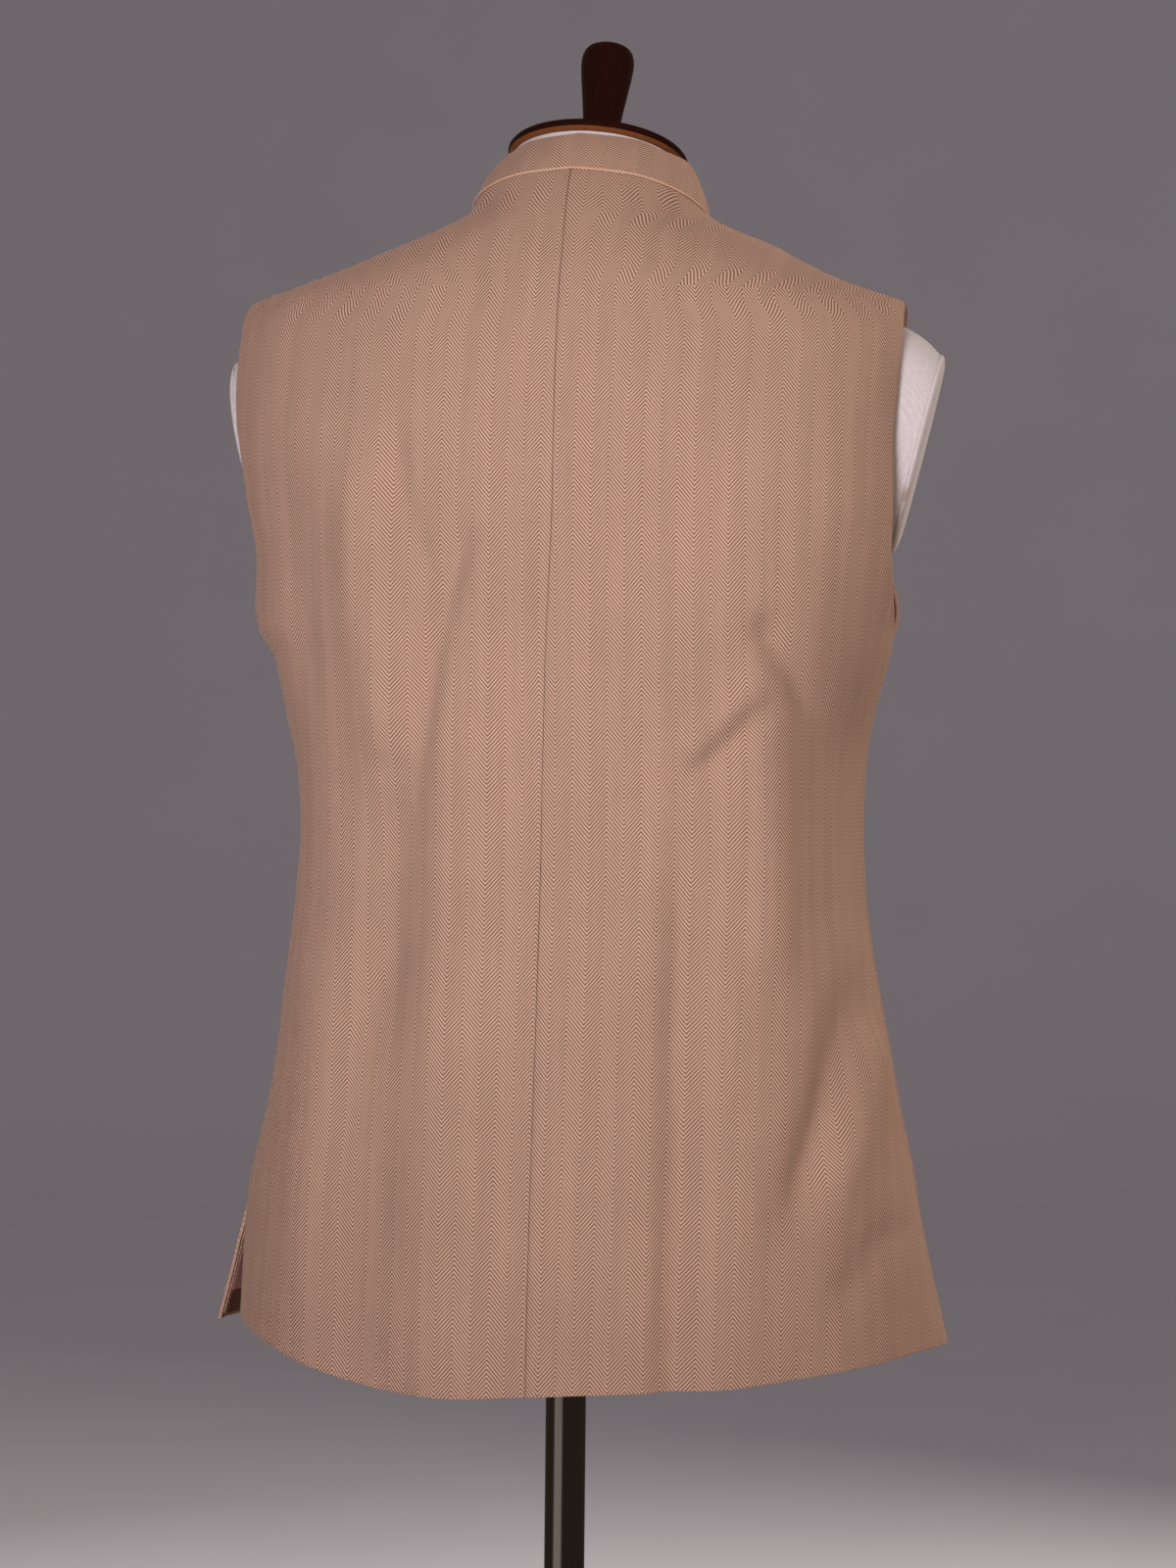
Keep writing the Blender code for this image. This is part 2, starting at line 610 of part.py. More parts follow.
def collar():
    """The standing band: a wall from the neckline up to a smaller oval further forward."""
    degrees = np.linspace(-COLLAR_END_TURN, COLLAR_END_TURN, COLLAR_COLUMNS + 1)
    angle = np.radians(degrees)
    face = np.where(np.abs(degrees) <= 90, BACK, FRONT)
    turn, height = neckline(np.abs(degrees))
    turn = turn * np.sign(degrees)
    foot = cloth_point(turn, height, face, lap_lift(turn, height))
    reach = np.where(np.cos(angle) >= 0, COLLAR_BACK_REACH, COLLAR_FRONT_REACH)
    x = COLLAR_SWAY + COLLAR_HALF_WIDTH * np.sin(angle)
    y = COLLAR_CENTRE + reach * np.cos(angle)
    z = column(NECKLINE, "collar_top", np.abs(degrees), "angle")
    top = np.stack([x, y, z], -1)
    rows = []
    for row in range(COLLAR_ROWS + 1):
        share = row / COLLAR_ROWS
        bow = COLLAR_BOW * 4 * share * (1 - share)
        outward = np.stack([np.sin(angle), np.cos(angle), np.zeros_like(angle)], -1)
        rows.append(foot + (top - foot) * share + bow * outward)
    outer = np.stack(rows)
    for from_end, drop in enumerate(COLLAR_CORNER_DROPS):
        outer[-1, (from_end, COLLAR_COLUMNS - from_end), 2] -= drop
    along = np.gradient(outer, axis=1)
    upward = np.gradient(outer, axis=0)
    normal = np.cross(along, upward)
    normal /= np.linalg.norm(normal, axis=-1, keepdims=True)
    outward = np.stack([np.sin(angle), np.cos(angle), np.zeros_like(angle)], -1)
    normal *= np.sign((normal * outward).sum(-1, keepdims=True))
    inner = outer - COLLAR_WALL * normal
    rise = upward[0] / np.linalg.norm(upward[0], axis=-1, keepdims=True)
    outer[0] += COLLAR_GAP * rise
    inner[0] += COLLAR_GAP * rise
    return wall("collar", outer, inner, WORSTED)


def vent_strip(name, side, low, high, finish):
    """A thin layer on the inside of a front panel beside its vent."""
    seam = side * seam_turn(side)
    turns = np.linspace(seam + math.degrees(LINING_INSET / HIP_RADIUS), seam + LINING_TURN, LINING_COLUMNS)
    heights = np.linspace(high, low, LINING_COLUMNS)
    turn, height = np.meshgrid(turns * side, heights)
    foot = hem_height(FRONT, cloth_point(turn, height, np.full(turn.shape, FRONT))[..., 0])
    height = height + foot

    def surface(at_turn, at_height):
        return cloth_point(at_turn, at_height, np.full(np.shape(at_turn), FRONT))

    normal = normals_of(surface, turn, height)
    base = surface(turn, height)
    outer = base - (CLOTH_WALL + LINING_GAP) * normal
    inner = outer - LINING_WALL * normal
    return wall(name, outer, inner, finish)


def button(index, height):
    """A round button with a turned rim, lying on the left front at the centre line."""
    turn = np.array([180.0])
    at_height = np.array([height])
    face = np.array([FRONT])
    base = cloth_point(turn, at_height, face, LAP_LIFT)[0]
    above = cloth_point(turn, at_height + 0.01, face, LAP_LIFT)[0]
    lean = math.atan2(base[1] - above[1], 0.01)
    profile = (
        (BUTTON_RADIUS - 0.0012, 0.0),
        (BUTTON_RADIUS, 0.0010),
        (BUTTON_RADIUS, 0.0022),
        (BUTTON_RADIUS - 0.0008, BUTTON_THICKNESS),
        (BUTTON_RADIUS - 0.0022, BUTTON_THICKNESS),
        (BUTTON_RADIUS - 0.0034, BUTTON_THICKNESS - 0.0009),
    )
    away = Vector((0, -math.cos(lean), -math.sin(lean)))
    centre = Vector(base) + away * (SEAM_GAP + 0.0003)
    place = Matrix.Translation(centre) @ Matrix.Rotation(math.pi / 2 + lean, 4, "X")
    return turned(f"button_{index}", profile, HORN, place, sides=20)


def torso_rings():
    """Rings of the padded body, from the foot of its neck down."""
    shares = np.linspace(0, 1, TORSO_ROWS) ** ROW_CROWDING
    below = (shares - SHOULDER_ROWS) / (1 - SHOULDER_ROWS)
    drop = np.where(below < 0, SHOULDER_DROP * shares / SHOULDER_ROWS, SHOULDER_DROP + (1 - SHOULDER_DROP) * below)
    neck_height = float(column_height(TORSO, NECK_HALF_WIDTH))
    ridge = neck_height + (TORSO_BOTTOM - neck_height) * drop
    quarter = np.linspace(0, 1, TORSO_COLUMNS + 1)
    top_back = neck_place(np.radians(90 * quarter))
    top_front = neck_place(np.radians(90 + 90 * quarter))
    rings = []
    for share, ridge_height in zip(shares, ridge):
        back_height = top_back[1][0] + share * (TORSO_BOTTOM - top_back[1][0])
        front_height = top_front[1][-1] + share * (TORSO_BOTTOM - top_front[1][-1])
        fade = (1 - share) ** TORSO_BLEND
        turns = []
        heights = []
        for (top_turn, top_height), start, end, first_turn in (
            (top_back, back_height, ridge_height, 0.0),
            (top_front, ridge_height, front_height, 90.0),
        ):
            flat_turn = first_turn + 90 * quarter
            top_flat = top_height[0] + (top_height[-1] - top_height[0]) * quarter
            turns.append(flat_turn + fade * (top_turn - flat_turn))
            heights.append(start + (end - start) * quarter + fade * (top_height - top_flat))
        half_turn = np.concatenate([turns[0], turns[1][1:]])
        half_height = np.concatenate([heights[0], heights[1][1:]])
        turn = np.concatenate([half_turn, -half_turn[-2:0:-1]])
        height = np.concatenate([half_height, half_height[-2:0:-1]])
        x, y, _ = section_point(TORSO, turn, height)
        rings.append(np.stack([x, y, height], -1))
    return rings


def torso():
    """The padded body with its neck, which ends under the cap, and short arm stubs."""
    rings = torso_rings()
    foot = rings[0]
    centre = column(TORSO, "side", TORSO[-1].height)
    place = cap_place()
    top = []
    for at in np.arctan2(foot[:, 0], foot[:, 1] - centre):
        top.append(tuple(place @ Vector((NECK_RADIUS * math.sin(at), NECK_RADIUS * math.cos(at), -SEAM_GAP))))
    neck = [foot + (np.array(top) - foot) * share for share in NECK_SHARES]
    body = loft("torso", neck + rings, CANVAS)
    for side in (1, -1):
        union = body.modifiers.new("stub", "BOOLEAN")
        union.operation = "UNION"
        union.object = arm_stub(side)
    return body


# Stations of an arm stub: distance out from the middle at the plate's top; height of the top
# and of the bottom; half depth.
Stub = namedtuple("Stub", "out top bottom half_depth")

STUB = (
    Stub(0.1500, 1.4110, 1.2400, 0.0500),
    Stub(0.1850, 1.4095, 1.2440, 0.0490),
    Stub(0.1980, 1.4050, 1.2500, 0.0470),
    Stub(0.2120, 1.3975, 1.2570, 0.0445),
    Stub(0.2236, 1.3880, 1.2650, 0.0415),
)
PLATE = (
    Stub(0.2239, 1.3880, 1.2650, 0.0415),
    Stub(0.2258, 1.3874, 1.2656, 0.0412),
    Stub(0.2273, 1.3840, 1.2690, 0.0388),
    Stub(0.2282, 1.3760, 1.2770, 0.0330),
)
STUB_CENTRE = -0.033
PLATE_TOP = 1.3880
PLATE_LEAN = 0.25
PLATE_SKEW = 0.10


def oval_rings(stations, side, sides=24):
    """Flat oval rings across an arm stub, leaning in at their foot and turned a little forwards."""
    rings = []
    for station in stations:
        centre = (station.top + station.bottom) / 2
        half_height = (station.top - station.bottom) / 2
        ring = []
        for index in range(sides):
            angle = 2 * math.pi * index / sides
            height = centre + half_height * math.cos(angle)
            depth = station.half_depth * math.sin(angle)
            out = station.out - PLATE_LEAN * (PLATE_TOP - height) + PLATE_SKEW * depth
            ring.append((side * out, STUB_CENTRE + depth, height))
        rings.append(ring)
    return rings


def arm_stub(side):
    """The cut-off shoulder that closes an armhole, joined into the torso."""
    stub = loft("stub_cutter", oval_rings(STUB, side), CANVAS)
    stub.hide_render = True
    stub.display_type = "WIRE"
    return stub


def arm_plate(name, side):
    """The domed oval plate on the end of an arm stub."""
    return loft(name, oval_rings(PLATE, side), CANVAS)


def cap_place():
    """Frame of the neck's top: tilted forwards and rolled a little to the right."""
    return Matrix.Translation(CAP_CENTRE) @ Matrix.Rotation(CAP_ROLL, 4, "Y") @ Matrix.Rotation(CAP_TILT, 4, "X")


def neck_cap():
    """The turned wooden cap: a rounded rim and a low dome."""
    profile = (
        (CAP_RADIUS - 0.0035, 0.0),
        (CAP_RADIUS - 0.0008, 0.0012),
        (CAP_RADIUS, 0.0040),
        (CAP_RADIUS - 0.0012, 0.0068),
        (CAP_RADIUS - 0.0050, 0.0082),
        (0.0440, 0.0125),
        (0.0310, 0.0172),
        (0.0180, 0.0200),
        (0.0125, 0.0208),
    )
    return turned("neck_cap", profile, DARK_WOOD, cap_place(), sides=40)


def neck_knob():
    """The turned knob, wider at its rounded top than at its foot."""
    profile = (
        (0.0118, 0.0211),
        (0.0126, 0.0230),
        (0.0120, 0.0270),
        (0.0128, 0.0360),
        (0.0143, 0.0480),
        (0.0160, 0.0600),
        (0.0169, 0.0690),
        (0.0166, 0.0750),
        (0.0148, 0.0790),
        (0.0105, 0.0812),
        (0.0040, 0.0820),
    )
    return turned("neck_knob", profile, DARK_WOOD, cap_place(), sides=24)


def stand():
    """The pole on its round base, with a socket at its foot and a flange under the torso."""
    base = (
        (BASE_RADIUS - 0.002, 0.0),
        (BASE_RADIUS, 0.002),
        (BASE_RADIUS, BASE_THICKNESS - 0.004),
        (BASE_RADIUS - 0.004, BASE_THICKNESS),
    )
    socket = (
        (SOCKET_RADIUS + 0.006, 0.0),
        (SOCKET_RADIUS + 0.006, 0.004),
        (SOCKET_RADIUS, 0.010),
        (SOCKET_RADIUS, SOCKET_HEIGHT - 0.003),
        (SOCKET_RADIUS - 0.003, SOCKET_HEIGHT),
    )
    flange_foot = TORSO_BOTTOM - SEAM_GAP - POLE_FLANGE_THICKNESS
    socket_foot = BASE_THICKNESS + SEAM_GAP
    pole_foot = socket_foot + SOCKET_HEIGHT + SEAM_GAP
    pole = ((POLE_RADIUS, 0.0), (POLE_RADIUS, flange_foot - SEAM_GAP - pole_foot))
    flange = ((POLE_FLANGE_RADIUS, 0.0), (POLE_FLANGE_RADIUS, POLE_FLANGE_THICKNESS))
    return [
        turned("base", base, STEEL, Matrix.Identity(4), sides=64),
        turned("pole_socket", socket, STEEL, Matrix.Translation((0, 0, socket_foot)), sides=32),
        turned("pole", pole, STEEL, Matrix.Translation((0, 0, pole_foot)), sides=24),
        turned("pole_flange", flange, STEEL, Matrix.Translation((0, 0, flange_foot)), sides=32),
    ]


def build():
    """Every piece of the part, from the cloth inwards."""
    for old in list(bpy.data.objects):
        bpy.data.objects.remove(old)
    cloth_panel("back_left", BACK, 1)
    cloth_panel("back_right", BACK, -1)
    cloth_panel("front_left", FRONT, 1)
    cloth_panel("front_right", FRONT, -1)
    collar()
    for side, name in ((1, "left"), (-1, "right")):
        facing_top = HEM_FACING_HEIGHT
        vent_strip(f"hem_facing_{name}", side, 0.0012, facing_top, FACING)
        vent_strip(f"lining_{name}", side, facing_top + SEAM_GAP, LINING_TOP, SATIN)
        arm_plate(f"arm_plate_{name}", side)
    for index, height in enumerate(BUTTON_HEIGHTS, 1):
        button(index, height)
    torso()
    neck_cap()
    neck_knob()
    stand()


build()
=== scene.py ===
"""Dressed model of a band-collar waistcoat on a limbless dress form.

Metres, +Z up. The pole stands on x = y = 0, the floor is z = 0, the garment's front faces -Y and
the wearer's left side is +X. A place on a body is a turn and a height. The turn is the angle in
degrees from the centre back (0) round the wearer's left side (90) to the centre front (180), and
it is negative on the right.
"""

import logging
import math
from dataclasses import dataclass
from enum import Enum
from typing import Any, NamedTuple, Sequence

import bpy
import numpy as np
from mathutils import Matrix, Vector


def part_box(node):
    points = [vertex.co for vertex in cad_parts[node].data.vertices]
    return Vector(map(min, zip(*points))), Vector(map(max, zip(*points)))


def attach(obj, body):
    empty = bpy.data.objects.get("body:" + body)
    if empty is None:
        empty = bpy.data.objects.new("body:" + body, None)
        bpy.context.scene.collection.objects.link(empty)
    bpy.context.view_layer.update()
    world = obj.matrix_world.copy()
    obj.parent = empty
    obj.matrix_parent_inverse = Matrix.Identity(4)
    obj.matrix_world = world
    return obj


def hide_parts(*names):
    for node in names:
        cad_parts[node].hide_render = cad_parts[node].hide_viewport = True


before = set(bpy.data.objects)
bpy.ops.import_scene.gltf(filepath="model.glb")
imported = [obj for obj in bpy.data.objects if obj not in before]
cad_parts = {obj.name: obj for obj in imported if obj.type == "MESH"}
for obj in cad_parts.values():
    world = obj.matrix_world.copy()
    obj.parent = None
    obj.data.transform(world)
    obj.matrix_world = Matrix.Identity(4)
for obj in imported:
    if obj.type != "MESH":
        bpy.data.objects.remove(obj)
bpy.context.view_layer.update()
LOG = logging.getLogger("waistcoat")

Array = np.ndarray
Pair = tuple[float, float]
Triple = tuple[float, float, float]
Piece = bpy.types.Object
Socket = bpy.types.NodeSocket

# ------------------------------------------------------------------ sizes shared by the pieces

CLOTH_WALL = 0.0022
COLLAR_WALL = 0.0030
SEAM_GAP = 0.0003
SHOULDER_TIP = 1.4225
UNDERARM = 1.2170
VENT_TOP = 0.8680
VENT_FOOT = 0.7820
SIDE_SEAM_TURN = 88.0
GARMENT_TURN = -4.0
SEAM_FADE = 14.0
GRAIN_LEVEL = 1.4200
SHOULDER_EASE = 0.55
SHOULDER_LEAN = 0.008
VENT_X = 0.2145
HEM_LEVEL = 0.78
HIP_RADIUS = 0.16
FRONT_LAP = 0.018
LAP_FLAT = 0.030
LAP_BLEND = 0.030
LAP_LIFT = CLOTH_WALL + 0.0009
TORSO_BOTTOM = 0.815
CAP_CENTRE = Vector((0.0, -0.062, 1.5135))
CAP_TILT = math.radians(16.0)
CAP_ROLL = math.radians(-2.0)
NECK_RADIUS = 0.0540
NECK_HALF_WIDTH = 0.066
NECK_BACK_REACH = 0.050
NECK_FRONT_REACH = 0.060


class Face(Enum):
    """The two faces of the garment."""

    BACK = 1
    FRONT = -1


class Side(Enum):
    """The wearer's two sides."""

    LEFT = 1
    RIGHT = -1


class Section(NamedTuple):
    """A level cut through a body: where it is and how wide, deep and square it is."""

    height: float
    half_width: float
    sway: float
    back: float
    front: float
    side: float
    full_back: float
    full_front: float


class HemPlace(NamedTuple):
    """Height of the hem at one place across the garment."""

    x: float
    back: float
    front: float


class ArmholePlace(NamedTuple):
    """Degrees that the armhole is cut into each panel, at a share of its depth."""

    share: float
    back_cut: float
    front_cut: float


class NeckPlace(NamedTuple):
    """Heights of the neckline and of the collar's top edge at an angle round the neck."""

    angle: float
    neckline: float
    collar_top: float


class SeamPlace(NamedTuple):
    """How far the centre-back seam strays from the middle at one height."""

    height: float
    x: float


class Corner(NamedTuple):
    """How far a panel's free corner swings out at the hem, beside a side vent."""

    face: Face
    side: Side
    swing: float
    reach: float


class Span(NamedTuple):
    """A stretch of a panel's outer edge, with its rows and its end on the middle line."""

    name: str
    rows: int
    back_share: float
    front_share: float


class Fold(NamedTuple):
    """A soft fold through three places (x, height). It sinks where its rise is negative."""

    top_x: float
    top_z: float
    mid_x: float
    mid_z: float
    low_x: float
    low_z: float
    width: float
    rise: float


class Station(NamedTuple):
    """A ring of an arm stub: distance out, height of its top and foot, half its depth."""

    out: float
    top: float
    bottom: float
    half_depth: float


class Turn(NamedTuple):
    """A row of a lathe profile."""

    radius: float
    height: float


def table(kind: type, *rows: tuple[Any, ...]) -> tuple[Any, ...]:
    """Makes a table of one kind of row from plain values."""
    return tuple(kind(*row) for row in rows)


CLOTH_SECTIONS = table(
    Section,
    (0.7, 0.228, -0.0048, 0.15, -0.198, -0.024, 0.02, 0.025),
    (0.76, 0.222, -0.0048, 0.1425, -0.192, -0.024, 0.02, 0.025),
    (0.8, 0.2178, -0.0048, 0.1385, -0.186, -0.024, 0.022, 0.025),
    (0.866, 0.2098, -0.0047, 0.131, -0.177, -0.024, 0.025, 0.028),
    (0.93, 0.1962, -0.0054, 0.1235, -0.169, -0.024, 0.028, 0.03),
    (1.0, 0.1853, -0.0026, 0.115, -0.162, -0.025, 0.032, 0.03),
    (1.05, 0.1788, -0.0015, 0.1095, -0.159, -0.025, 0.034, 0.032),
    (1.09, 0.1765, -0.001, 0.107, -0.159, -0.026, 0.035, 0.034),
    (1.126, 0.1782, -0.0003, 0.107, -0.161, -0.027, 0.035, 0.036),
    (1.163, 0.1845, 0.0008, 0.1085, -0.1645, -0.028, 0.035, 0.038),
    (1.195, 0.1925, 0.0006, 0.1107, -0.1662, -0.028, 0.034, 0.037),
    (1.217, 0.2008, 0.0045, 0.112, -0.167, -0.029, 0.034, 0.037),
    (1.26, 0.207, 0.001, 0.114, -0.165, -0.03, 0.033, 0.036),
    (1.3, 0.214, 0.0037, 0.1135, -0.159, -0.029, 0.03, 0.03),
    (1.35, 0.2178, 0.0078, 0.1065, -0.146, -0.027, 0.022, 0.02),
    (1.4, 0.2139, 0.0062, 0.0925, -0.125, -0.024, 0.008, 0.006),
    (1.4225, 0.2066, 0.0052, 0.0825, -0.1105, -0.023, 0.0, 0.0),
    (1.4242, 0.2012, 0.005, 0.0816, -0.1096, -0.023, 0.0, 0.0),
    (1.434, 0.1679, 0.0026, 0.076, -0.1035, -0.025, 0.0, 0.0),
    (1.446, 0.1415, 0.0004, 0.0685, -0.095, -0.028, 0.0, 0.0),
    (1.46, 0.114, -0.0006, 0.059, -0.084, -0.031, 0.0, 0.0),
    (1.472, 0.08, -0.005, 0.049, -0.0735, -0.034, 0.0, 0.0),
    (1.479, 0.0732, -0.0008, 0.043, -0.068, -0.035, 0.0, 0.0),
    (1.487, 0.0712, -0.0006, 0.0355, -0.061, -0.036, 0.0, 0.0),
    (1.501, 0.066, 0.0005, 0.02, -0.05, -0.036, 0.0, 0.0),
    (1.515, 0.06, 0.0, 0.005, -0.04, -0.036, 0.0, 0.0),
)

TORSO_SECTIONS = table(
    Section,
    (0.815, 0.176, 0.0, 0.103, -0.135, -0.022, 0.02, 0.02),
    (0.86, 0.179, 0.0, 0.109, -0.142, -0.022, 0.022, 0.022),
    (0.92, 0.177, 0.0, 0.111, -0.145, -0.022, 0.025, 0.025),
    (0.98, 0.17, 0.0, 0.105, -0.144, -0.023, 0.028, 0.028),
    (1.05, 0.162, 0.0, 0.097, -0.144, -0.024, 0.03, 0.03),
    (1.1, 0.161, 0.0, 0.096, -0.148, -0.025, 0.03, 0.032),
    (1.16, 0.168, 0.0, 0.1, -0.155, -0.027, 0.032, 0.034),
    (1.217, 0.177, 0.0, 0.104, -0.159, -0.028, 0.034, 0.036),
    (1.26, 0.182, 0.0, 0.106, -0.157, -0.029, 0.034, 0.034),
    (1.3, 0.186, 0.0, 0.1055, -0.151, -0.029, 0.03, 0.028),
    (1.35, 0.189, 0.0, 0.099, -0.1385, -0.027, 0.022, 0.018),
    (1.39, 0.1895, 0.0, 0.088, -0.122, -0.025, 0.008, 0.006),
    (1.408, 0.1875, 0.0, 0.0818, -0.1123, -0.024, 0.002, 0.002),
    (1.418, 0.183, 0.0, 0.0775, -0.1062, -0.024, 0.0, 0.0),
    (1.4245, 0.172, 0.0, 0.0742, -0.1022, -0.025, 0.0, 0.0),
    (1.43, 0.16, 0.0, 0.071, -0.0988, -0.026, 0.0, 0.0),
    (1.4415, 0.137, 0.0, 0.064, -0.0912, -0.028, 0.0, 0.0),
    (1.455, 0.1115, 0.0, 0.0552, -0.081, -0.031, 0.0, 0.0),
    (1.466, 0.0795, 0.0, 0.0445, -0.0705, -0.034, 0.0, 0.0),
    (1.472, 0.0705, 0.0, 0.038, -0.0645, -0.035, 0.0, 0.0),
    (1.478, 0.0655, 0.0, 0.031, -0.059, -0.036, 0.0, 0.0),
    (1.492, 0.0605, 0.0, 0.013, -0.048, -0.036, 0.0, 0.0),
)

HEM = table(
    HemPlace,
    (-0.24, 0.783, 0.786), (-0.225, 0.7768, 0.779), (-0.2, 0.773, 0.772), (-0.156, 0.768, 0.762),
    (-0.12, 0.7638, 0.756), (-0.06, 0.761, 0.75), (0.0, 0.7572, 0.748), (0.04, 0.755, 0.749),
    (0.08, 0.7567, 0.751), (0.12, 0.763, 0.756), (0.155, 0.7735, 0.762), (0.18, 0.7815, 0.768),
    (0.205, 0.7888, 0.777), (0.23, 0.7945, 0.7825),
)

ARMHOLE = table(
    ArmholePlace,
    (0.0, 0.0, 0.0), (0.05, 8.0, 11.0), (0.14, 13.0, 23.0), (0.3, 17.5, 32.0), (0.45, 20.0, 36.0),
    (0.6, 20.5, 37.0), (0.74, 19.0, 33.0), (0.86, 14.0, 23.0), (0.95, 6.5, 10.0), (1.0, 0.0, 0.0),
)

NECKLINE = table(
    NeckPlace,
    (0.0, 1.5006, 1.5257), (32.0, 1.4972, 1.5225), (52.0, 1.4918, 1.5172), (75.0, 1.4842, 1.5135),
    (90.0, 1.479, 1.5105), (135.0, 1.452, 1.49), (180.0, 1.43, 1.4685),
)

CENTRE_BACK = table(
    SeamPlace,
    (0.75, -0.0028), (0.9, -0.0018), (1.1, -0.0018), (1.178, -0.003), (1.295, -0.007), (1.447, -0.0036),
    (1.5, 0.0008), (1.515, 0.001),
)

CORNERS = table(
    Corner,
    (Face.BACK, Side.LEFT, -0.0065, 32.0), (Face.FRONT, Side.LEFT, 0.012, 26.0),
    (Face.BACK, Side.RIGHT, 0.009, 18.0), (Face.FRONT, Side.RIGHT, -0.006, 24.0),
)

SPANS = table(
    Span,
    ("shoulder", 34, 0.125, 0.075), ("armhole", 56, 0.385, 0.315), ("side", 110, 1.0, 1.0),
)

FOLDS = {
    Face.BACK: table(
        Fold,
        (0.034, 1.278, 0.061, 1.222, 0.077, 1.08, 0.0095, -0.0066),
        (0.078, 1.16, 0.09, 1.045, 0.112, 0.935, 0.02, -0.0048),
        (0.094, 1.352, 0.084, 1.288, 0.062, 1.226, 0.009, -0.0038),
        (0.116, 1.34, 0.11, 1.225, 0.098, 1.095, 0.018, 0.0074),
        (0.109, 1.133, 0.093, 1.129, 0.078, 1.132, 0.008, -0.0016),
        (0.054, 1.23, 0.056, 1.0, 0.052, 0.6, 0.029, 0.0072),
        (0.082, 1.14, 0.098, 0.96, 0.102, 0.56, 0.028, -0.004),
        (0.012, 1.36, 0.012, 1.1, 0.012, 0.64, 0.01, -0.0015),
        (-0.016, 1.38, -0.014, 1.1, -0.016, 0.64, 0.011, 0.002),
        (-0.087, 1.22, -0.089, 0.82, -0.093, 0.42, 0.01, -0.0054),
        (-0.065, 1.2, -0.067, 0.82, -0.069, 0.44, 0.015, 0.004),
        (-0.114, 1.18, -0.119, 0.946, -0.126, 0.64, 0.023, 0.0045),
        (-0.126, 1.224, -0.144, 1.198, -0.166, 1.15, 0.0095, -0.0056),
        (-0.122, 1.215, -0.134, 1.1, -0.144, 0.97, 0.017, 0.0066),
        (-0.17, 1.21, -0.168, 1.095, -0.17, 0.98, 0.02, -0.0064),
        (-0.086, 1.116, -0.11, 1.141, -0.139, 1.176, 0.0085, -0.0042),
        (-0.083, 1.133, -0.106, 1.157, -0.138, 1.194, 0.0085, 0.0034),
        (-0.186, 1.03, -0.173, 0.935, -0.149, 0.845, 0.012, -0.0088),
        (-0.197, 0.985, -0.19, 0.925, -0.178, 0.85, 0.011, 0.0048),
        (-0.209, 0.865, -0.195, 0.832, -0.174, 0.8, 0.011, -0.0036),
        (0.078, 1.075, 0.104, 0.965, 0.146, 0.875, 0.017, -0.0026),
        (0.098, 1.006, 0.112, 0.982, 0.124, 0.964, 0.0075, -0.0018),
        (0.172, 1.33, 0.162, 1.25, 0.15, 1.15, 0.015, -0.0044),
        (-0.18, 1.29, -0.178, 1.23, -0.172, 1.17, 0.015, -0.0026),
        (0.074, 1.462, 0.083, 1.449, 0.094, 1.44, 0.008, -0.0016),
        (0.205, 1.368, 0.172, 1.372, 0.14, 1.392, 0.014, -0.0018),
        (0.15, 1.06, 0.146, 0.9, 0.152, 0.64, 0.019, 0.003),
        (-0.046, 1.06, -0.048, 0.9, -0.046, 0.64, 0.017, 0.002),
    ),
    Face.FRONT: table(
        Fold,
        (0.09, 1.23, 0.078, 1.01, 0.092, 0.64, 0.015, -0.0042),
        (0.136, 1.19, 0.14, 1.0, 0.152, 0.64, 0.019, 0.0036),
        (0.052, 1.12, 0.056, 0.96, 0.05, 0.64, 0.013, 0.0026),
        (-0.098, 1.24, -0.086, 1.03, -0.074, 0.64, 0.015, -0.0038),
        (-0.142, 1.18, -0.152, 0.99, -0.146, 0.64, 0.019, 0.004),
        (-0.05, 1.08, -0.046, 0.93, -0.052, 0.64, 0.012, 0.0024),
        (0.02, 1.1, 0.06, 1.112, 0.098, 1.14, 0.006, -0.002),
        (-0.03, 1.096, -0.066, 1.104, -0.1, 1.128, 0.006, -0.0018),
        (0.17, 1.01, 0.158, 0.95, 0.136, 0.895, 0.01, -0.004),
        (-0.172, 1.02, -0.16, 0.96, -0.142, 0.91, 0.01, -0.0036),
        (0.122, 1.3, 0.134, 1.262, 0.152, 1.236, 0.008, -0.0024),
        (-0.12, 1.31, -0.136, 1.266, -0.154, 1.24, 0.008, -0.0026),
    ),
}

CAP_PROFILE = table(
    Turn,
    (0.054, 0.0), (0.0556, 0.0006), (0.0568, 0.0022), (0.0575, 0.0042), (0.0574, 0.0055), (0.0563, 0.0069),
    (0.054, 0.0079), (0.05, 0.0094), (0.044, 0.0125), (0.037, 0.0153), (0.028, 0.018), (0.02, 0.0196),
    (0.0125, 0.0207),
)

KNOB_PROFILE = table(
    Turn,
    (0.0108, 0.0209), (0.0122, 0.0213), (0.0128, 0.0224), (0.0124, 0.024), (0.0119, 0.0265),
    (0.0122, 0.031), (0.0129, 0.037), (0.0137, 0.043), (0.0146, 0.0495), (0.0155, 0.056),
    (0.0163, 0.062), (0.0168, 0.067), (0.0169, 0.071), (0.0165, 0.0745), (0.0155, 0.0775),
    (0.0139, 0.0797), (0.0112, 0.0812), (0.007, 0.082), (0.0025, 0.0822),
)

STUB = table(
    Station,
    (0.15, 1.411, 1.24, 0.05), (0.185, 1.4095, 1.244, 0.049), (0.198, 1.405, 1.25, 0.047),
    (0.212, 1.3975, 1.257, 0.0445), (0.2236, 1.388, 1.265, 0.0415),
)


# ------------------------------------------------------------------ curves and surfaces

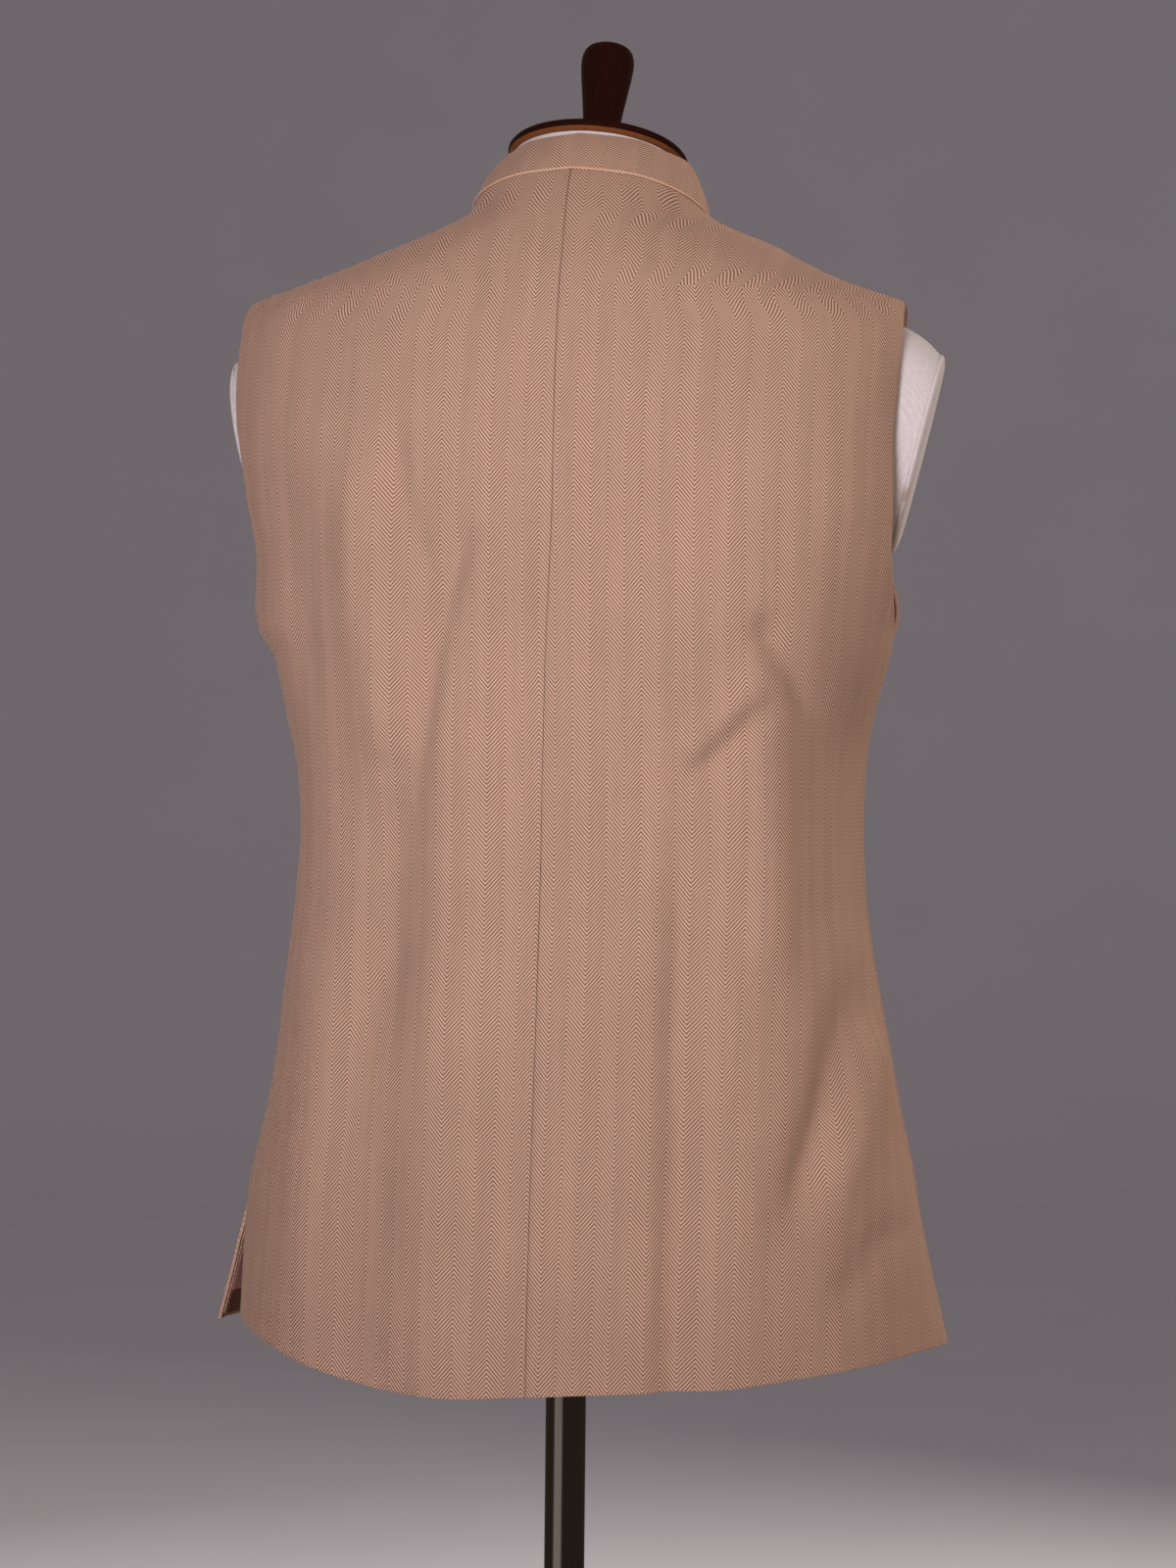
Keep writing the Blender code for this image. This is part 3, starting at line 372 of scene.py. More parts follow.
SHOULDER_FLOOR = 1.400
SHOULDER_ROWS = 1.41
FOLD_STEPS = 12
FOLD_FADE = 0.3
WAVE_SEED = 11
WAVES = 16
WAVE_WIDTHS = (0.030, 0.085)
WAVE_LENGTHS = (0.110, 0.420)
WAVE_RISES = (0.00004, 0.00016)
VENT_FLARE = 1.2
OUT_AND_UP = 0.4


def smooth(places: Sequence[float], values: Sequence[float], at: Any) -> Array:
    """Reads a smooth curve that doesn't overshoot its values.

    Args:
        places: Where the values stand, rising.
        values: The value at each place.
        at: The places asked for.

    Returns:
        The value at each place asked for.
    """
    x = np.asarray(places, float)
    y = np.asarray(values, float)
    slope = np.diff(y) / np.diff(x)
    tangent = np.concatenate([slope[:1], np.zeros(len(x) - 2), slope[-1:]])
    same = slope[:-1] * slope[1:] > 0
    total = np.where(same, slope[:-1] + slope[1:], 1.0)
    tangent[1:-1] = np.where(same, 2 * slope[:-1] * slope[1:] / total, 0.0)
    at = np.clip(at, x[0], x[-1])
    low = np.clip(np.searchsorted(x, at, side="right") - 1, 0, len(x) - 2)
    step = x[low + 1] - x[low]
    s = (at - x[low]) / step
    rest = 1 - s
    ends = y[low] * rest * rest * (1 + 2 * s) + y[low + 1] * s * s * (3 - 2 * s)
    return ends + step * (tangent[low] * s * rest * rest - tangent[low + 1] * s * s * rest)


def column(table: Sequence[Any], name: str, at: Any, key: str = "height") -> Array:
    """Reads one named column of a table as a smooth curve over its key column."""
    return smooth([getattr(row, key) for row in table], [getattr(row, name) for row in table], at)


def ease(share: Any) -> Array:
    """Goes from 0 to 1 with level ends."""
    share = np.clip(share, 0.0, 1.0)
    return share * share * (3 - 2 * share)


def normals_of(points: Array) -> Array:
    """Unit normals of a grid of points, by the cross product of its two ways."""
    normal = np.cross(np.gradient(points, axis=0), np.gradient(points, axis=1))
    return normal / np.maximum(np.linalg.norm(normal, axis=-1, keepdims=True), 1e-12)


def lengths_along(points: Array, axis: int) -> Array:
    """Distance of each grid point from its line's first one, measured along the grid."""
    steps = np.linalg.norm(np.diff(points, axis=axis), axis=-1)
    return np.concatenate([np.zeros_like(np.take(steps, [0], axis)), np.cumsum(steps, axis)], axis)


@dataclass(frozen=True)
class Body:
    """A body of stacked sections, which the cloth or the form's padding follows."""

    sections: tuple[Section, ...]

    def read(self, name: str, height: Any) -> Array:
        """One column of the sections at a height."""
        return column(self.sections, name, height)

    def point(self, turn: Any, height: Any) -> tuple[Array, Array, Array]:
        """Finds a place of the body in plan.

        Args:
            turn: Degrees round from the centre back.
            height: Height of the section.

        Returns:
            x, y and the outward direction in plan.
        """
        angle = np.radians(turn)
        behind = np.cos(angle) >= 0
        side = self.read("side", height)
        half_width = self.read("half_width", height)
        depth = np.where(behind, self.read("back", height) - side, side - self.read("front", height))
        full = np.where(behind, self.read("full_back", height), self.read("full_front", height))
        x = half_width * (np.sin(angle) + full * np.sin(3 * angle)) / (1 - full)
        y = side + depth * (np.cos(angle) - full * np.cos(3 * angle)) / (1 - full)
        out = np.stack([np.sin(angle) / half_width, np.cos(angle) / depth], -1)
        out /= np.linalg.norm(out, axis=-1, keepdims=True)
        return x + self.read("sway", height) * np.sin(angle) ** 2, y, out

    def shoulder_height(self, half_width: float) -> float:
        """The height on the shoulders at which the body is this wide."""
        rows = [row for row in reversed(self.sections) if row.height > SHOULDER_ROWS]
        return float(smooth([row.half_width for row in rows], [row.height for row in rows], half_width))

    def plan_shares(self, x: Array, y: Array, height: Array) -> tuple[Array, Array]:
        """How far out a plan point lies each way, as shares of the section there."""
        side = self.read("side", height)
        depth = np.where(y >= side, self.read("back", height) - side, side - self.read("front", height))
        return x / self.read("half_width", height), (y - side) / depth

    def drop_on_shoulders(self, x: Array, y: Array) -> tuple[Array, Array]:
        """Finds where a line in plan, drawn from above, lies on the shoulders.

        Args:
            x: Places across.
            y: Places front to back.

        Returns:
            Turn and height of each place on the body.
        """
        low = np.full(np.shape(x), SHOULDER_FLOOR)
        high = np.full(np.shape(x), self.sections[-1].height)
        for _ in range(40):
            middle = (low + high) / 2
            outside = np.hypot(*self.plan_shares(x, y, middle)) > 1
            high = np.where(outside, middle, high)
            low = np.where(outside, low, middle)
        height = (low + high) / 2
        return np.degrees(np.arctan2(*self.plan_shares(x, y, height))), height


CLOTH = Body(CLOTH_SECTIONS)
TORSO = Body(TORSO_SECTIONS)


def seam_turn(side: Side) -> float:
    """Turn of a side seam. The garment hangs turned a little on the form."""
    return side.value * SIDE_SEAM_TURN + GARMENT_TURN


def hem_height(face: Face, x: Any) -> Array:
    """Height of the hem at a place across one face."""
    return column(HEM, "back" if face is Face.BACK else "front", x, "x")


def neckline_height(angle: float) -> float:
    """Height of the neckline at one angle round the neck."""
    return float(column(NECKLINE, "neckline", angle, "angle"))


def neck_width() -> float:
    """Half the breadth of the neckline, from side to side."""
    return float(CLOTH.read("half_width", neckline_height(90.0)))


def neckline(angle: Array) -> tuple[Array, Array]:
    """Finds the neckline. In front it keeps the breadth that it has at the sides.

    Args:
        angle: Degrees round the neck from the centre back. Past 180 it goes on over the lap.

    Returns:
        Turn and height at each angle.
    """
    height = column(NECKLINE, "neckline", np.minimum(angle, 360 - angle), "angle")
    share = np.sin(np.radians(angle)) * neck_width() / CLOTH.read("half_width", height)
    before = 180 - np.degrees(np.arcsin(np.clip(share, -1.0, 1.0)))
    return np.where(angle <= 90, angle, before), height


def lap_lift(turn: Array, height: Array) -> Array:
    """How far the left front is lifted to lie over the right one. It is zero elsewhere."""
    from_middle = np.radians(np.maximum(0.0, 180 - turn)) * CLOTH.read("half_width", height)
    return LAP_LIFT * ease((LAP_FLAT + LAP_BLEND - from_middle) / LAP_BLEND)


def fold_rise(face: Face, x: Array, z: Array, turn: Array) -> Array:
    """Adds up the folds of one face.

    Args:
        face: The face.
        x: Place across.
        z: Height.
        turn: Turn of each place, for the fading towards the side seams.

    Returns:
        How far the cloth stands out at each place.
    """
    rise = np.zeros_like(x)
    along = np.linspace(0, 1, FOLD_STEPS + 1)[:, None]
    for fold in FOLDS[face]:
        top = np.array([fold.top_x, fold.top_z])
        low = np.array([fold.low_x, fold.low_z])
        bend = 2 * np.array([fold.mid_x, fold.mid_z]) - (top + low) / 2
        line = (1 - along) ** 2 * top + 2 * along * (1 - along) * bend + along**2 * low
        nearest = np.full(x.shape, np.inf)
        place = np.zeros_like(x)
        for index in range(FOLD_STEPS):
            start, span = line[index], line[index + 1] - line[index]
            share = ((x - start[0]) * span[0] + (z - start[1]) * span[1]) / (span @ span)
            share = np.clip(share, 0.0, 1.0)
            away = np.hypot(x - start[0] - share * span[0], z - start[1] - share * span[1])
            place = np.where(away < nearest, (index + share) / FOLD_STEPS, place)
            nearest = np.minimum(nearest, away)
        fade = ease(np.minimum(place, 1 - place) / FOLD_FADE)
        rise += fold.rise * fade * np.exp(-((nearest / fold.width) ** 2))
    from_seam = np.minimum(np.abs(turn - seam_turn(Side.LEFT)), np.abs(turn - seam_turn(Side.RIGHT)))
    return rise * ease(from_seam / SEAM_FADE)


def drape(x: Array, z: Array) -> Array:
    """The low, uneven waves of hanging cloth: narrow across and long downwards."""
    chance = np.random.default_rng(WAVE_SEED)
    rise = np.zeros_like(x)
    for _ in range(WAVES):
        across = 2 * math.pi / chance.uniform(*WAVE_WIDTHS)
        down = 2 * math.pi / chance.uniform(*WAVE_LENGTHS) * chance.choice((-1, 1))
        wave = np.sin(across * x + down * z + chance.uniform(0, 6.3))
        rise += wave * chance.uniform(*WAVE_RISES)
    return rise


def cloth_point(face: Face, turn: Array, height: Array, lift: Any = 0.0) -> Array:
    """Finds a place on the garment's outside.

    Args:
        face: The face that the place is on.
        turn: Degrees round.
        height: Height.
        lift: How far the cloth is lifted there.

    Returns:
        The points.
    """
    x, y, out = CLOTH.point(turn, height)
    rise = fold_rise(face, x, height, turn) + drape(x, height) + lift
    x = x + out[..., 0] * rise
    y = y + out[..., 1] * rise
    hang = np.clip((VENT_TOP - height) / (VENT_TOP - VENT_FOOT), 0.0, VENT_FLARE) ** VENT_FLARE
    for corner in CORNERS:
        if corner.face is face:
            away = np.abs(turn - seam_turn(corner.side)) / corner.reach
            swing = corner.swing * hang * ease(1 - away)
            x = x + np.where(np.sign(turn) == corner.side.value, corner.side.value * swing, 0.0)
    lean = SHOULDER_LEAN * x * ease((height - UNDERARM) / (SHOULDER_TIP - UNDERARM))
    return np.stack([x, y, height + lean], -1)


def facing(points: Array, turn: Array, height: Array, steep: float = OUT_AND_UP) -> tuple[Array, Array]:
    """Finds which way a grid of cloth faces.

    Args:
        points: The grid.
        turn: Turn of each point.
        height: Height of each point.
        steep: How steeply its rough outward direction climbs.

    Returns:
        The rough outward direction and the exact unit normal on that side.
    """
    plan = CLOTH.point(turn, height)[2]
    outward = np.concatenate([plan, np.full(plan.shape[:-1] + (1,), steep)], -1)
    normal = normals_of(points)
    return outward, normal * np.sign((normal * outward).sum(-1, keepdims=True))


def grain_of(face: Face, side: Side, turn: Array, height: Array) -> Array:
    """Measures the cloth as it lay flat.

    Args:
        face: The panel's face.
        side: The panel's side.
        turn: Turn of each place.
        height: Height of each place.

    Returns:
        Distance across from the garment's middle and up from the underarm, in metres. On the
        shoulders the cloth is pressed to shape, and its length from back to front counts for less.
    """
    shares = np.linspace(0, 1, 33).reshape(-1, 1, 1)
    start = 0.0 if face is Face.BACK else 180.0 * side.value
    level = np.minimum(height, GRAIN_LEVEL)
    out = CLOTH.read("half_width", height) * np.sin(np.radians(turn))
    folded = np.degrees(np.arcsin(np.clip(out / CLOTH.read("half_width", level), -1.0, 1.0)))
    folded = folded if face is Face.BACK else start - folded
    folded = np.where(height > GRAIN_LEVEL, folded, turn)
    x, y, _ = CLOTH.point(start + (folded - start) * shares, level)
    across = np.hypot(np.diff(x, axis=0), np.diff(y, axis=0)).sum(0) * np.sign(folded - start)
    up = UNDERARM + (level - UNDERARM) * shares
    x, y, _ = CLOTH.point(folded, up)
    rise = np.sqrt(np.diff(x, axis=0) ** 2 + np.diff(y, axis=0) ** 2 + np.diff(up, axis=0) ** 2).sum(0)
    over = level + (height - level) * shares
    across_body = np.clip(out / CLOTH.read("half_width", over), -1.0, 1.0)
    turned = np.degrees(np.arcsin(across_body))
    x, y, _ = CLOTH.point(turned if face is Face.BACK else 180.0 - turned, over)
    eased = SHOULDER_EASE * np.diff(y, axis=0)
    rise = rise * np.sign(height - UNDERARM) + np.hypot(eased, np.diff(over, axis=0)).sum(0)
    return np.stack([across, rise], -1)


# ------------------------------------------------------------------ materials

# A noise hardly leaves this middle span. A wave texture of scale 1 repeats every 0.314 m.
NOISE_SPAN = (0.3, 0.7)
WAVE_UNIT = 0.314


def linear(hex_colour: str) -> tuple[float, float, float, float]:
    """Turns an sRGB hex colour into a linear one with full alpha."""
    channels = [int(hex_colour[place : place + 2], 16) / 255 for place in (1, 3, 5)]
    red, green, blue = [c / 12.92 if c <= 0.04045 else ((c + 0.055) / 1.055) ** 2.4 for c in channels]
    return red, green, blue, 1.0


@dataclass(frozen=True)
class Pattern:
    """The shader nodes of one surface. Each method adds a node and returns its output."""

    tree: bpy.types.NodeTree

    def feed(self, node: bpy.types.Node, sockets: dict[Any, Any]) -> None:
        """Sets or links a node's inputs, each by its name or number."""
        for name, value in sockets.items():
            if isinstance(value, Socket):
                self.tree.links.new(value, node.inputs[name])
            else:
                node.inputs[name].default_value = value

    def add(self, kind: str, sockets: dict[Any, Any], out: Any = 0, **settings: Any) -> Socket:
        """Adds any node.

        Args:
            kind: The node's class name without its first word.
            sockets: For each input, by name or number, a value or the output that feeds it.
            out: The output asked for, by name or number.
            settings: The node's own settings.

        Returns:
            The output.
        """
        made = self.tree.nodes.new(f"ShaderNode{kind}")
        for name, value in settings.items():
            setattr(made, name, value)
        self.feed(made, sockets)
        return made.outputs[out]

    def math(self, operation: str, *values: Any, **settings: Any) -> Socket:
        """Reckons with numbers."""
        return self.add("Math", dict(enumerate(values)), operation=operation, **settings)

    def vector(self, operation: str, *values: Any, out: Any = 0) -> Socket:
        """Reckons with vectors."""
        return self.add("VectorMath", dict(enumerate(values)), out, operation=operation)

    def place(self) -> Socket:
        """The piece's own coordinates."""
        return self.add("TexCoord", {}, "Object")

    def grain(self) -> Socket:
        """The place on the cloth as it lay flat."""
        return self.add("UVMap", {}, uv_map="grain")

    def noise(self, place: Socket, scale: float, detail: float, **more: float) -> Socket:
        """A soft noise. Its features are about as long as one over its scale."""
        return self.add("TexNoise", {"Vector": place, "Scale": scale, "Detail": detail, **more})

    def streaks(self, place: Socket, scales: Triple, detail: float) -> Socket:
        """A noise drawn out along one axis."""
        return self.noise(self.add("Mapping", {"Vector": place, "Scale": scales}), 1.0, detail)

    def remap(self, value: Socket, span: Pair, onto: Pair, **settings: Any) -> Socket:
        """Maps one range on to another and clamps it there."""
        return self.add("MapRange", dict(enumerate((value, *span, *onto))), **settings)

    def vary(self, noise: Socket, amount: float) -> Socket:
        """Turns a noise into a factor that swings this far either side of one."""
        return self.remap(noise, NOISE_SPAN, (1 - amount, 1 + amount))

    def blend(self, share: Socket, first: str | Socket, second: str | Socket) -> Socket:
        """Goes from one colour to another."""
        ends = [linear(colour) if isinstance(colour, str) else colour for colour in (first, second)]
        return self.add("Mix", {0: share, 6: ends[0], 7: ends[1]}, 2, data_type="RGBA")

    def shade(self, colour: str | Socket, factor: Socket) -> Socket:
        """Makes a colour lighter or darker by a factor."""
        base = linear(colour)[:3] if isinstance(colour, str) else colour
        return self.add("VectorMath", {0: base, "Scale": factor}, operation="SCALE")

    def bump(self, height: Socket, strength: float, distance: float) -> Socket:
        """Lights a surface as if it stood out by this height."""
        return self.add("Bump", {"Strength": strength, "Distance": distance, "Height": height})


@dataclass(frozen=True)
class Finish:
    """What a surface is made of. Each kind of finish draws its own pattern."""

    name: str
    slot: str

    def material(self) -> bpy.types.Material:
        """Returns the finish's material, made the first time it is asked for."""
        found = bpy.data.materials.get(self.name)
        if found:
            return found
        made = bpy.data.materials.new(self.name)
        made.use_nodes = True
        draw = Pattern(made.node_tree)
        draw.feed(made.node_tree.nodes["Principled BSDF"], self.sockets(draw))
        return made

    def sockets(self, draw: Pattern) -> dict[str, Any]:
        """Draws the pattern and returns what goes into each socket of the shader."""
        raise NotImplementedError


@dataclass(frozen=True)
class HerringboneWool(Finish):
    """Worsted wool suiting, a 2/2 twill that turns back every 10.3 mm and so draws chevrons.

    Light and dark yarn make fine slanting lines, and the two slants catch the light a little
    differently. Wool is matt with a soft nap that lights up a little at the edges.
    """

    light: str = "#cba893"
    dark: str = "#7b5647"
    repeat: float = 0.0206
    # The real lines are 1.4 mm apart. They are drawn 1.7 mm apart, so that they show.
    line_pitch: float = 0.0017
    line_angle: float = 50.0
    line_edge: Pair = (0.16, 0.36)
    wobble: float = 0.0005
    cloudiness: float = 0.045
    streakiness: float = 0.035
    slant_contrast: float = 0.035
    sheen: float = 0.14
    sheen_tint: str = "#e8c8b4"

    def sockets(self, draw: Pattern) -> dict[str, Any]:
        """Draws the chevrons from the cloth's own grain."""
        grain = draw.grain()
        across, up = (draw.add("SeparateXYZ", {0: grain}, axis) for axis in "XY")
        shaken = draw.math("MULTIPLY_ADD", draw.noise(grain, 45.0, 2.0), self.wobble, across)
        angle = math.radians(self.line_angle)
        rise = self.line_pitch / math.cos(angle)
        slanted = draw.math(
            "MULTIPLY_ADD", draw.math("PINGPONG", shaken, self.repeat / 2), math.tan(angle), up
        )
        phase = draw.math("PINGPONG", slanted, rise / 2)
        edge = (rise * self.line_edge[0], rise * self.line_edge[1])
        line = draw.remap(phase, edge, (0.0, 1.0), interpolation_type="SMOOTHSTEP")
        yarn = draw.noise(grain, 900.0, 1.0)
        broken = draw.math("MULTIPLY_ADD", yarn, 0.5, -0.25)
        threads = draw.math("ADD", line, broken, use_clamp=True)
        cloud = draw.vary(draw.noise(grain, 9.0, 3.0, Roughness=0.6), self.cloudiness)
        streak = draw.vary(draw.streaks(grain, (160.0, 7.0, 1.0), 2.0), self.streakiness)
        in_repeat = draw.math("FLOORED_MODULO", shaken, self.repeat)
        leaning = draw.math("GREATER_THAN", in_repeat, self.repeat / 2)
        lit = draw.math("MULTIPLY_ADD", leaning, self.slant_contrast, 1 - self.slant_contrast / 2)
        tone = draw.math("MULTIPLY", draw.math("MULTIPLY", cloud, streak), lit)
        relief = draw.math("MULTIPLY_ADD", threads, -0.6, yarn)
        return {
            "Base Color": draw.shade(draw.blend(threads, self.light, self.dark), tone),
            "Roughness": 0.86,
            "Specular IOR Level": 0.25,
            "Sheen Weight": self.sheen,
            "Sheen Roughness": 0.45,
            "Sheen Tint": linear(self.sheen_tint),
            "Normal": draw.bump(relief, 0.35, 0.00035),
        }


@dataclass(frozen=True)
class SatinLining(Finish):
    """Viscose lining woven as satin: long floats give it a soft, slightly streaked shine."""

    colour: str = "#d79a92"

    def sockets(self, draw: Pattern) -> dict[str, Any]:
        """Draws the fine lengthwise streaks of the floats."""
        floats = draw.streaks(draw.grain(), (900.0, 40.0, 1.0), 2.0)
        return {
            "Base Color": draw.shade(self.colour, draw.vary(floats, 0.07)),
            "Roughness": 0.42,
            "Sheen Weight": 0.15,
            "Sheen Roughness": 0.3,
            "Normal": draw.bump(floats, 0.15, 0.0002),
        }


@dataclass(frozen=True)
class FormCanvas(Finish):
    """Unbleached cotton canvas over the padding, plain-woven and matt, with slubs and old marks.

    One brown stain, 8 mm across, sits on the right arm stub.
    """

    colour: str = "#d2c7c4"
    mark: str = "#b0977b"
    stain: str = "#a07850"
    stain_place: Triple = (-0.2065, 0.0032, 1.2995)
    stain_reach: float = 0.0036
    stain_edge: float = 0.0022
    stain_raggedness: float = 0.0045
    stain_stretch: Triple = (1.0, 1.0, 0.45)
    # Real threads are 0.5 mm apart. They are drawn 1.5 mm apart, so that they show.
    thread: float = 0.0015

    def sockets(self, draw: Pattern) -> dict[str, Any]:
        """Draws the plain weave, its slubs and its marks."""
        place = draw.place()
        wave = {"Vector": place, "Scale": WAVE_UNIT / self.thread, "Distortion": 1.0, "Detail": 1.0}
        across, down = (draw.add("TexWave", wave, "Fac", bands_direction=axis) for axis in "YZ")
        weave = draw.math("MULTIPLY", across, down)
        height = draw.math("MULTIPLY_ADD", weave, 0.5, draw.noise(place, 420.0, 2.0))
        marked = draw.remap(draw.noise(place, 26.0, 3.0), (0.66, 0.80), (0.0, 0.45))
        off = draw.vector("SUBTRACT", place, self.stain_place)
        away = draw.vector("LENGTH", draw.vector("MULTIPLY", off, self.stain_stretch), out="Value")
        edge = draw.math("MULTIPLY_ADD", draw.noise(place, 420.0, 3.0), -self.stain_raggedness, away)
        far = self.stain_reach - self.stain_raggedness / 2
        spot = draw.remap(edge, (far - self.stain_edge, far), (0.55, 0.0))
        cloth = draw.blend(spot, draw.blend(marked, self.colour, self.mark), self.stain)
        return {
            "Base Color": draw.shade(cloth, draw.remap(height, (0.3, 1.1), (0.90, 1.07))),
            "Roughness": 0.88,
            "Specular IOR Level": 0.25,
            "Sheen Weight": 0.08,
            "Normal": draw.bump(height, 0.3, 0.0003),
        }


@dataclass(frozen=True)
class LacqueredWood(Finish):
    """Turned beech, stained dark and lacquered: the grain barely shows under a glossy coat."""

    colour: str = "#2e0f08"
    streak: str = "#150604"
    coat: float = 0.50

    def sockets(self, draw: Pattern) -> dict[str, Any]:
        """Draws long grain along the height, 1.5 mm wide."""
        fibre = draw.streaks(draw.place(), (640.0, 640.0, 40.0), 3.0)
        return {
            "Base Color": draw.blend(fibre, self.colour, self.streak),
            "Roughness": 0.40,
            "Specular IOR Level": 0.10,
            "Coat Weight": self.coat,
            "Coat Roughness": 0.05,
            "Normal": draw.bump(fibre, 0.08, 0.0002),
        }


@dataclass(frozen=True)
class BrushedSteel(Finish):
    """Steel tube, ground and polished along its length, with faint rub marks."""

    colour: str = "#8a8078"
    roughness: float = 0.16

    def sockets(self, draw: Pattern) -> dict[str, Any]:
        """Draws the polishing lines, 0.8 mm apart."""
        lines = draw.streaks(draw.place(), (1200.0, 1200.0, 6.0), 2.0)
        return {
            "Base Color": draw.shade(self.colour, draw.vary(lines, 0.08)),
            "Metallic": 1.0,
            "Roughness": draw.remap(lines, NOISE_SPAN, (self.roughness * 0.8, self.roughness * 1.3)),
        }


@dataclass(frozen=True)
class PolishedHorn(Finish):
    """Horn blank, turned and tumbled to a gloss, clouded brown."""

    colour: str = "#5b3a28"
    cloud: str = "#2a1710"

    def sockets(self, draw: Pattern) -> dict[str, Any]:
        """Draws the clouding, in patches of about 5 mm."""
        return {
            "Base Color": draw.blend(draw.noise(draw.place(), 190.0, 3.0), self.colour, self.cloud),
            "Roughness": 0.30,
            "Coat Weight": 0.4,
            "Coat Roughness": 0.15,
        }


@dataclass(frozen=True)
class SewingThread(Finish):
    """Spun polyester thread: matt, twisted, a little darker than the cloth."""

    colour: str = "#7c5746"

    def sockets(self, draw: Pattern) -> dict[str, Any]:
        """Draws the twist, 0.6 mm a turn."""
        twist = draw.vary(draw.noise(draw.place(), 1600.0, 1.0), 0.15)
        return {"Base Color": draw.shade(self.colour, twist), "Roughness": 0.8}


@dataclass(frozen=True)
class PaintedBoardWithGlow(Finish):
    """Matt emulsion paint on the studio floor, with a painted cool glow that stands in for the light on a
    backdrop.
    """

    colour: str = "#e6e6e8"
    painted_glow: str = "#1c2c42"

    def sockets(self, draw: Pattern) -> dict[str, Any]:
        """Draws the faint roller texture, in patches of about 40 cm, and the painted glow."""
        return {
            "Base Color": draw.shade(self.colour, draw.vary(draw.noise(draw.place(), 2.5, 2.0), 0.015)),
            "Roughness": 0.95,
            "Specular IOR Level": 0.1,
            # Painted glow: a cool emission that stands in for light on the backdrop.
            "Emission Color": linear(self.painted_glow),
            "Emission Strength": 1.0,
        }


WOOL = HerringboneWool("worsted_herringbone_wool", "herringbone_wool")
# The same wool drawn much lighter: a painted highlight along the collar's rolled edge.
WOOL_ROLLED_HIGHLIGHT = HerringboneWool("worsted_wool_rolled_edge", "herringbone_wool", light="#e2b99c", dark="#d3a98d")
WOOL_EDGE = HerringboneWool("worsted_wool_cut_edge", "herringbone_wool", light="#c39c87", dark="#b08975")
# The same wool drawn much darker: painted shade of the garment's inside, on the hem facings and the seam
# allowances.
WOOL_TURNED_UNDER_SHADED = HerringboneWool(
    "worsted_wool_turned_under", "hem_facing_cloth", light="#8a6450", dark="#53382b", sheen=0.05
)
SATIN = SatinLining("viscose_satin_lining", "satin_lining")
CANVAS = FormCanvas("cotton_form_canvas", "canvas")
DARK_WOOD = LacqueredWood("lacquered_dark_beech", "dark_wood")
BROWN_WOOD = LacqueredWood("lighter_brown_beech", "dark_wood", colour="#87502b", streak="#5b331b", coat=0.12)
STEEL = BrushedSteel("polished_steel_tube", "steel")
HORN = PolishedHorn("polished_horn", "horn")
THREAD = SewingThread("polyester_sewing_thread", "herringbone_wool")
FLOOR_PAINT_AND_GLOW = PaintedBoardWithGlow("matt_floor_paint", "")


# ------------------------------------------------------------------ tools of the bench

SHARP = math.radians(35)
RIM_SHARP = math.radians(50)


def deselect_all() -> None:
    """Leaves edit mode and deselects everything."""
    if bpy.context.object and bpy.context.object.mode != "OBJECT":
        bpy.ops.object.mode_set(mode="OBJECT")
    bpy.ops.object.select_all(action="DESELECT")


def take(piece: Piece) -> None:
    """Selects one piece alone and makes it active."""
    deselect_all()
    piece.select_set(True)
    bpy.context.view_layer.objects.active = piece


def apply_modifier(piece: Piece, kind: str, **settings: Any) -> None:
    """Adds a modifier to a piece, sets it and applies it."""
    take(piece)
    modifier = piece.modifiers.new(kind.lower(), kind)
    for name, value in settings.items():
        setattr(modifier, name, value)
    bpy.ops.object.modifier_apply(modifier=modifier.name)


def new_piece(name: str, data: Any) -> Piece:
    """Puts a new object with this data into the scene."""
    piece = bpy.data.objects.new(name, data)
    bpy.context.scene.collection.objects.link(piece)
    return piece


def edit_all() -> None:
    """Enters edit mode with everything selected."""
    bpy.ops.object.mode_set(mode="EDIT")
    bpy.ops.mesh.select_all(action="SELECT")


def close_up(inside: bool = False) -> None:
    """Turns all faces outwards, or inwards for a room, and leaves edit mode."""
    bpy.ops.mesh.select_all(action="SELECT")
    bpy.ops.mesh.normals_make_consistent(inside=inside)
    bpy.ops.object.mode_set(mode="OBJECT")


def extrude_rows(profile: Sequence[Turn]) -> None:
    """Extrudes and resizes what is selected from each row of a profile to the next."""
    for before, after in zip(profile, profile[1:]):
        rise, ratio = after.height - before.height, after.radius / before.radius
        bpy.ops.mesh.extrude_region_move(TRANSFORM_OT_translate={"value": (0, 0, rise)})
        bpy.ops.transform.resize(value=(ratio, ratio, 1), center_override=(0, 0, after.height))


def shade_smooth(piece: Piece) -> None:
    """Shades a piece smooth, except over its sharp edges."""
    take(piece)
    bpy.ops.object.shade_smooth_by_angle(angle=SHARP)


def round_edges(piece: Piece, width: float, angle: float = SHARP) -> None:
    """Bevels the edges that are sharper than an angle."""
    apply_modifier(piece, "BEVEL", width=width, segments=3, limit_method="ANGLE", angle_limit=angle)


def settle(piece: Piece) -> None:
    """Puts a piece's place into its mesh, so that its object sits at the origin."""
    take(piece)
    bpy.ops.object.transform_apply(location=True, rotation=True, scale=True)


def dress(piece: Piece, finish: Finish, nodes: Sequence[str] = ()) -> Piece:
    """Gives a piece its finish and its place in the frame, and reports it.

    Args:
        piece: The finished piece.
        finish: Its finish.
        nodes: The solids that it stands for.

    Returns:
        The piece.
    """
    if not piece.data.materials:
        piece.data.materials.append(finish.material())
    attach(piece, "root")
    if nodes:
        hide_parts(*nodes)
    LOG.info("%s: %d faces", piece.name, len(piece.data.polygons))
    return piece


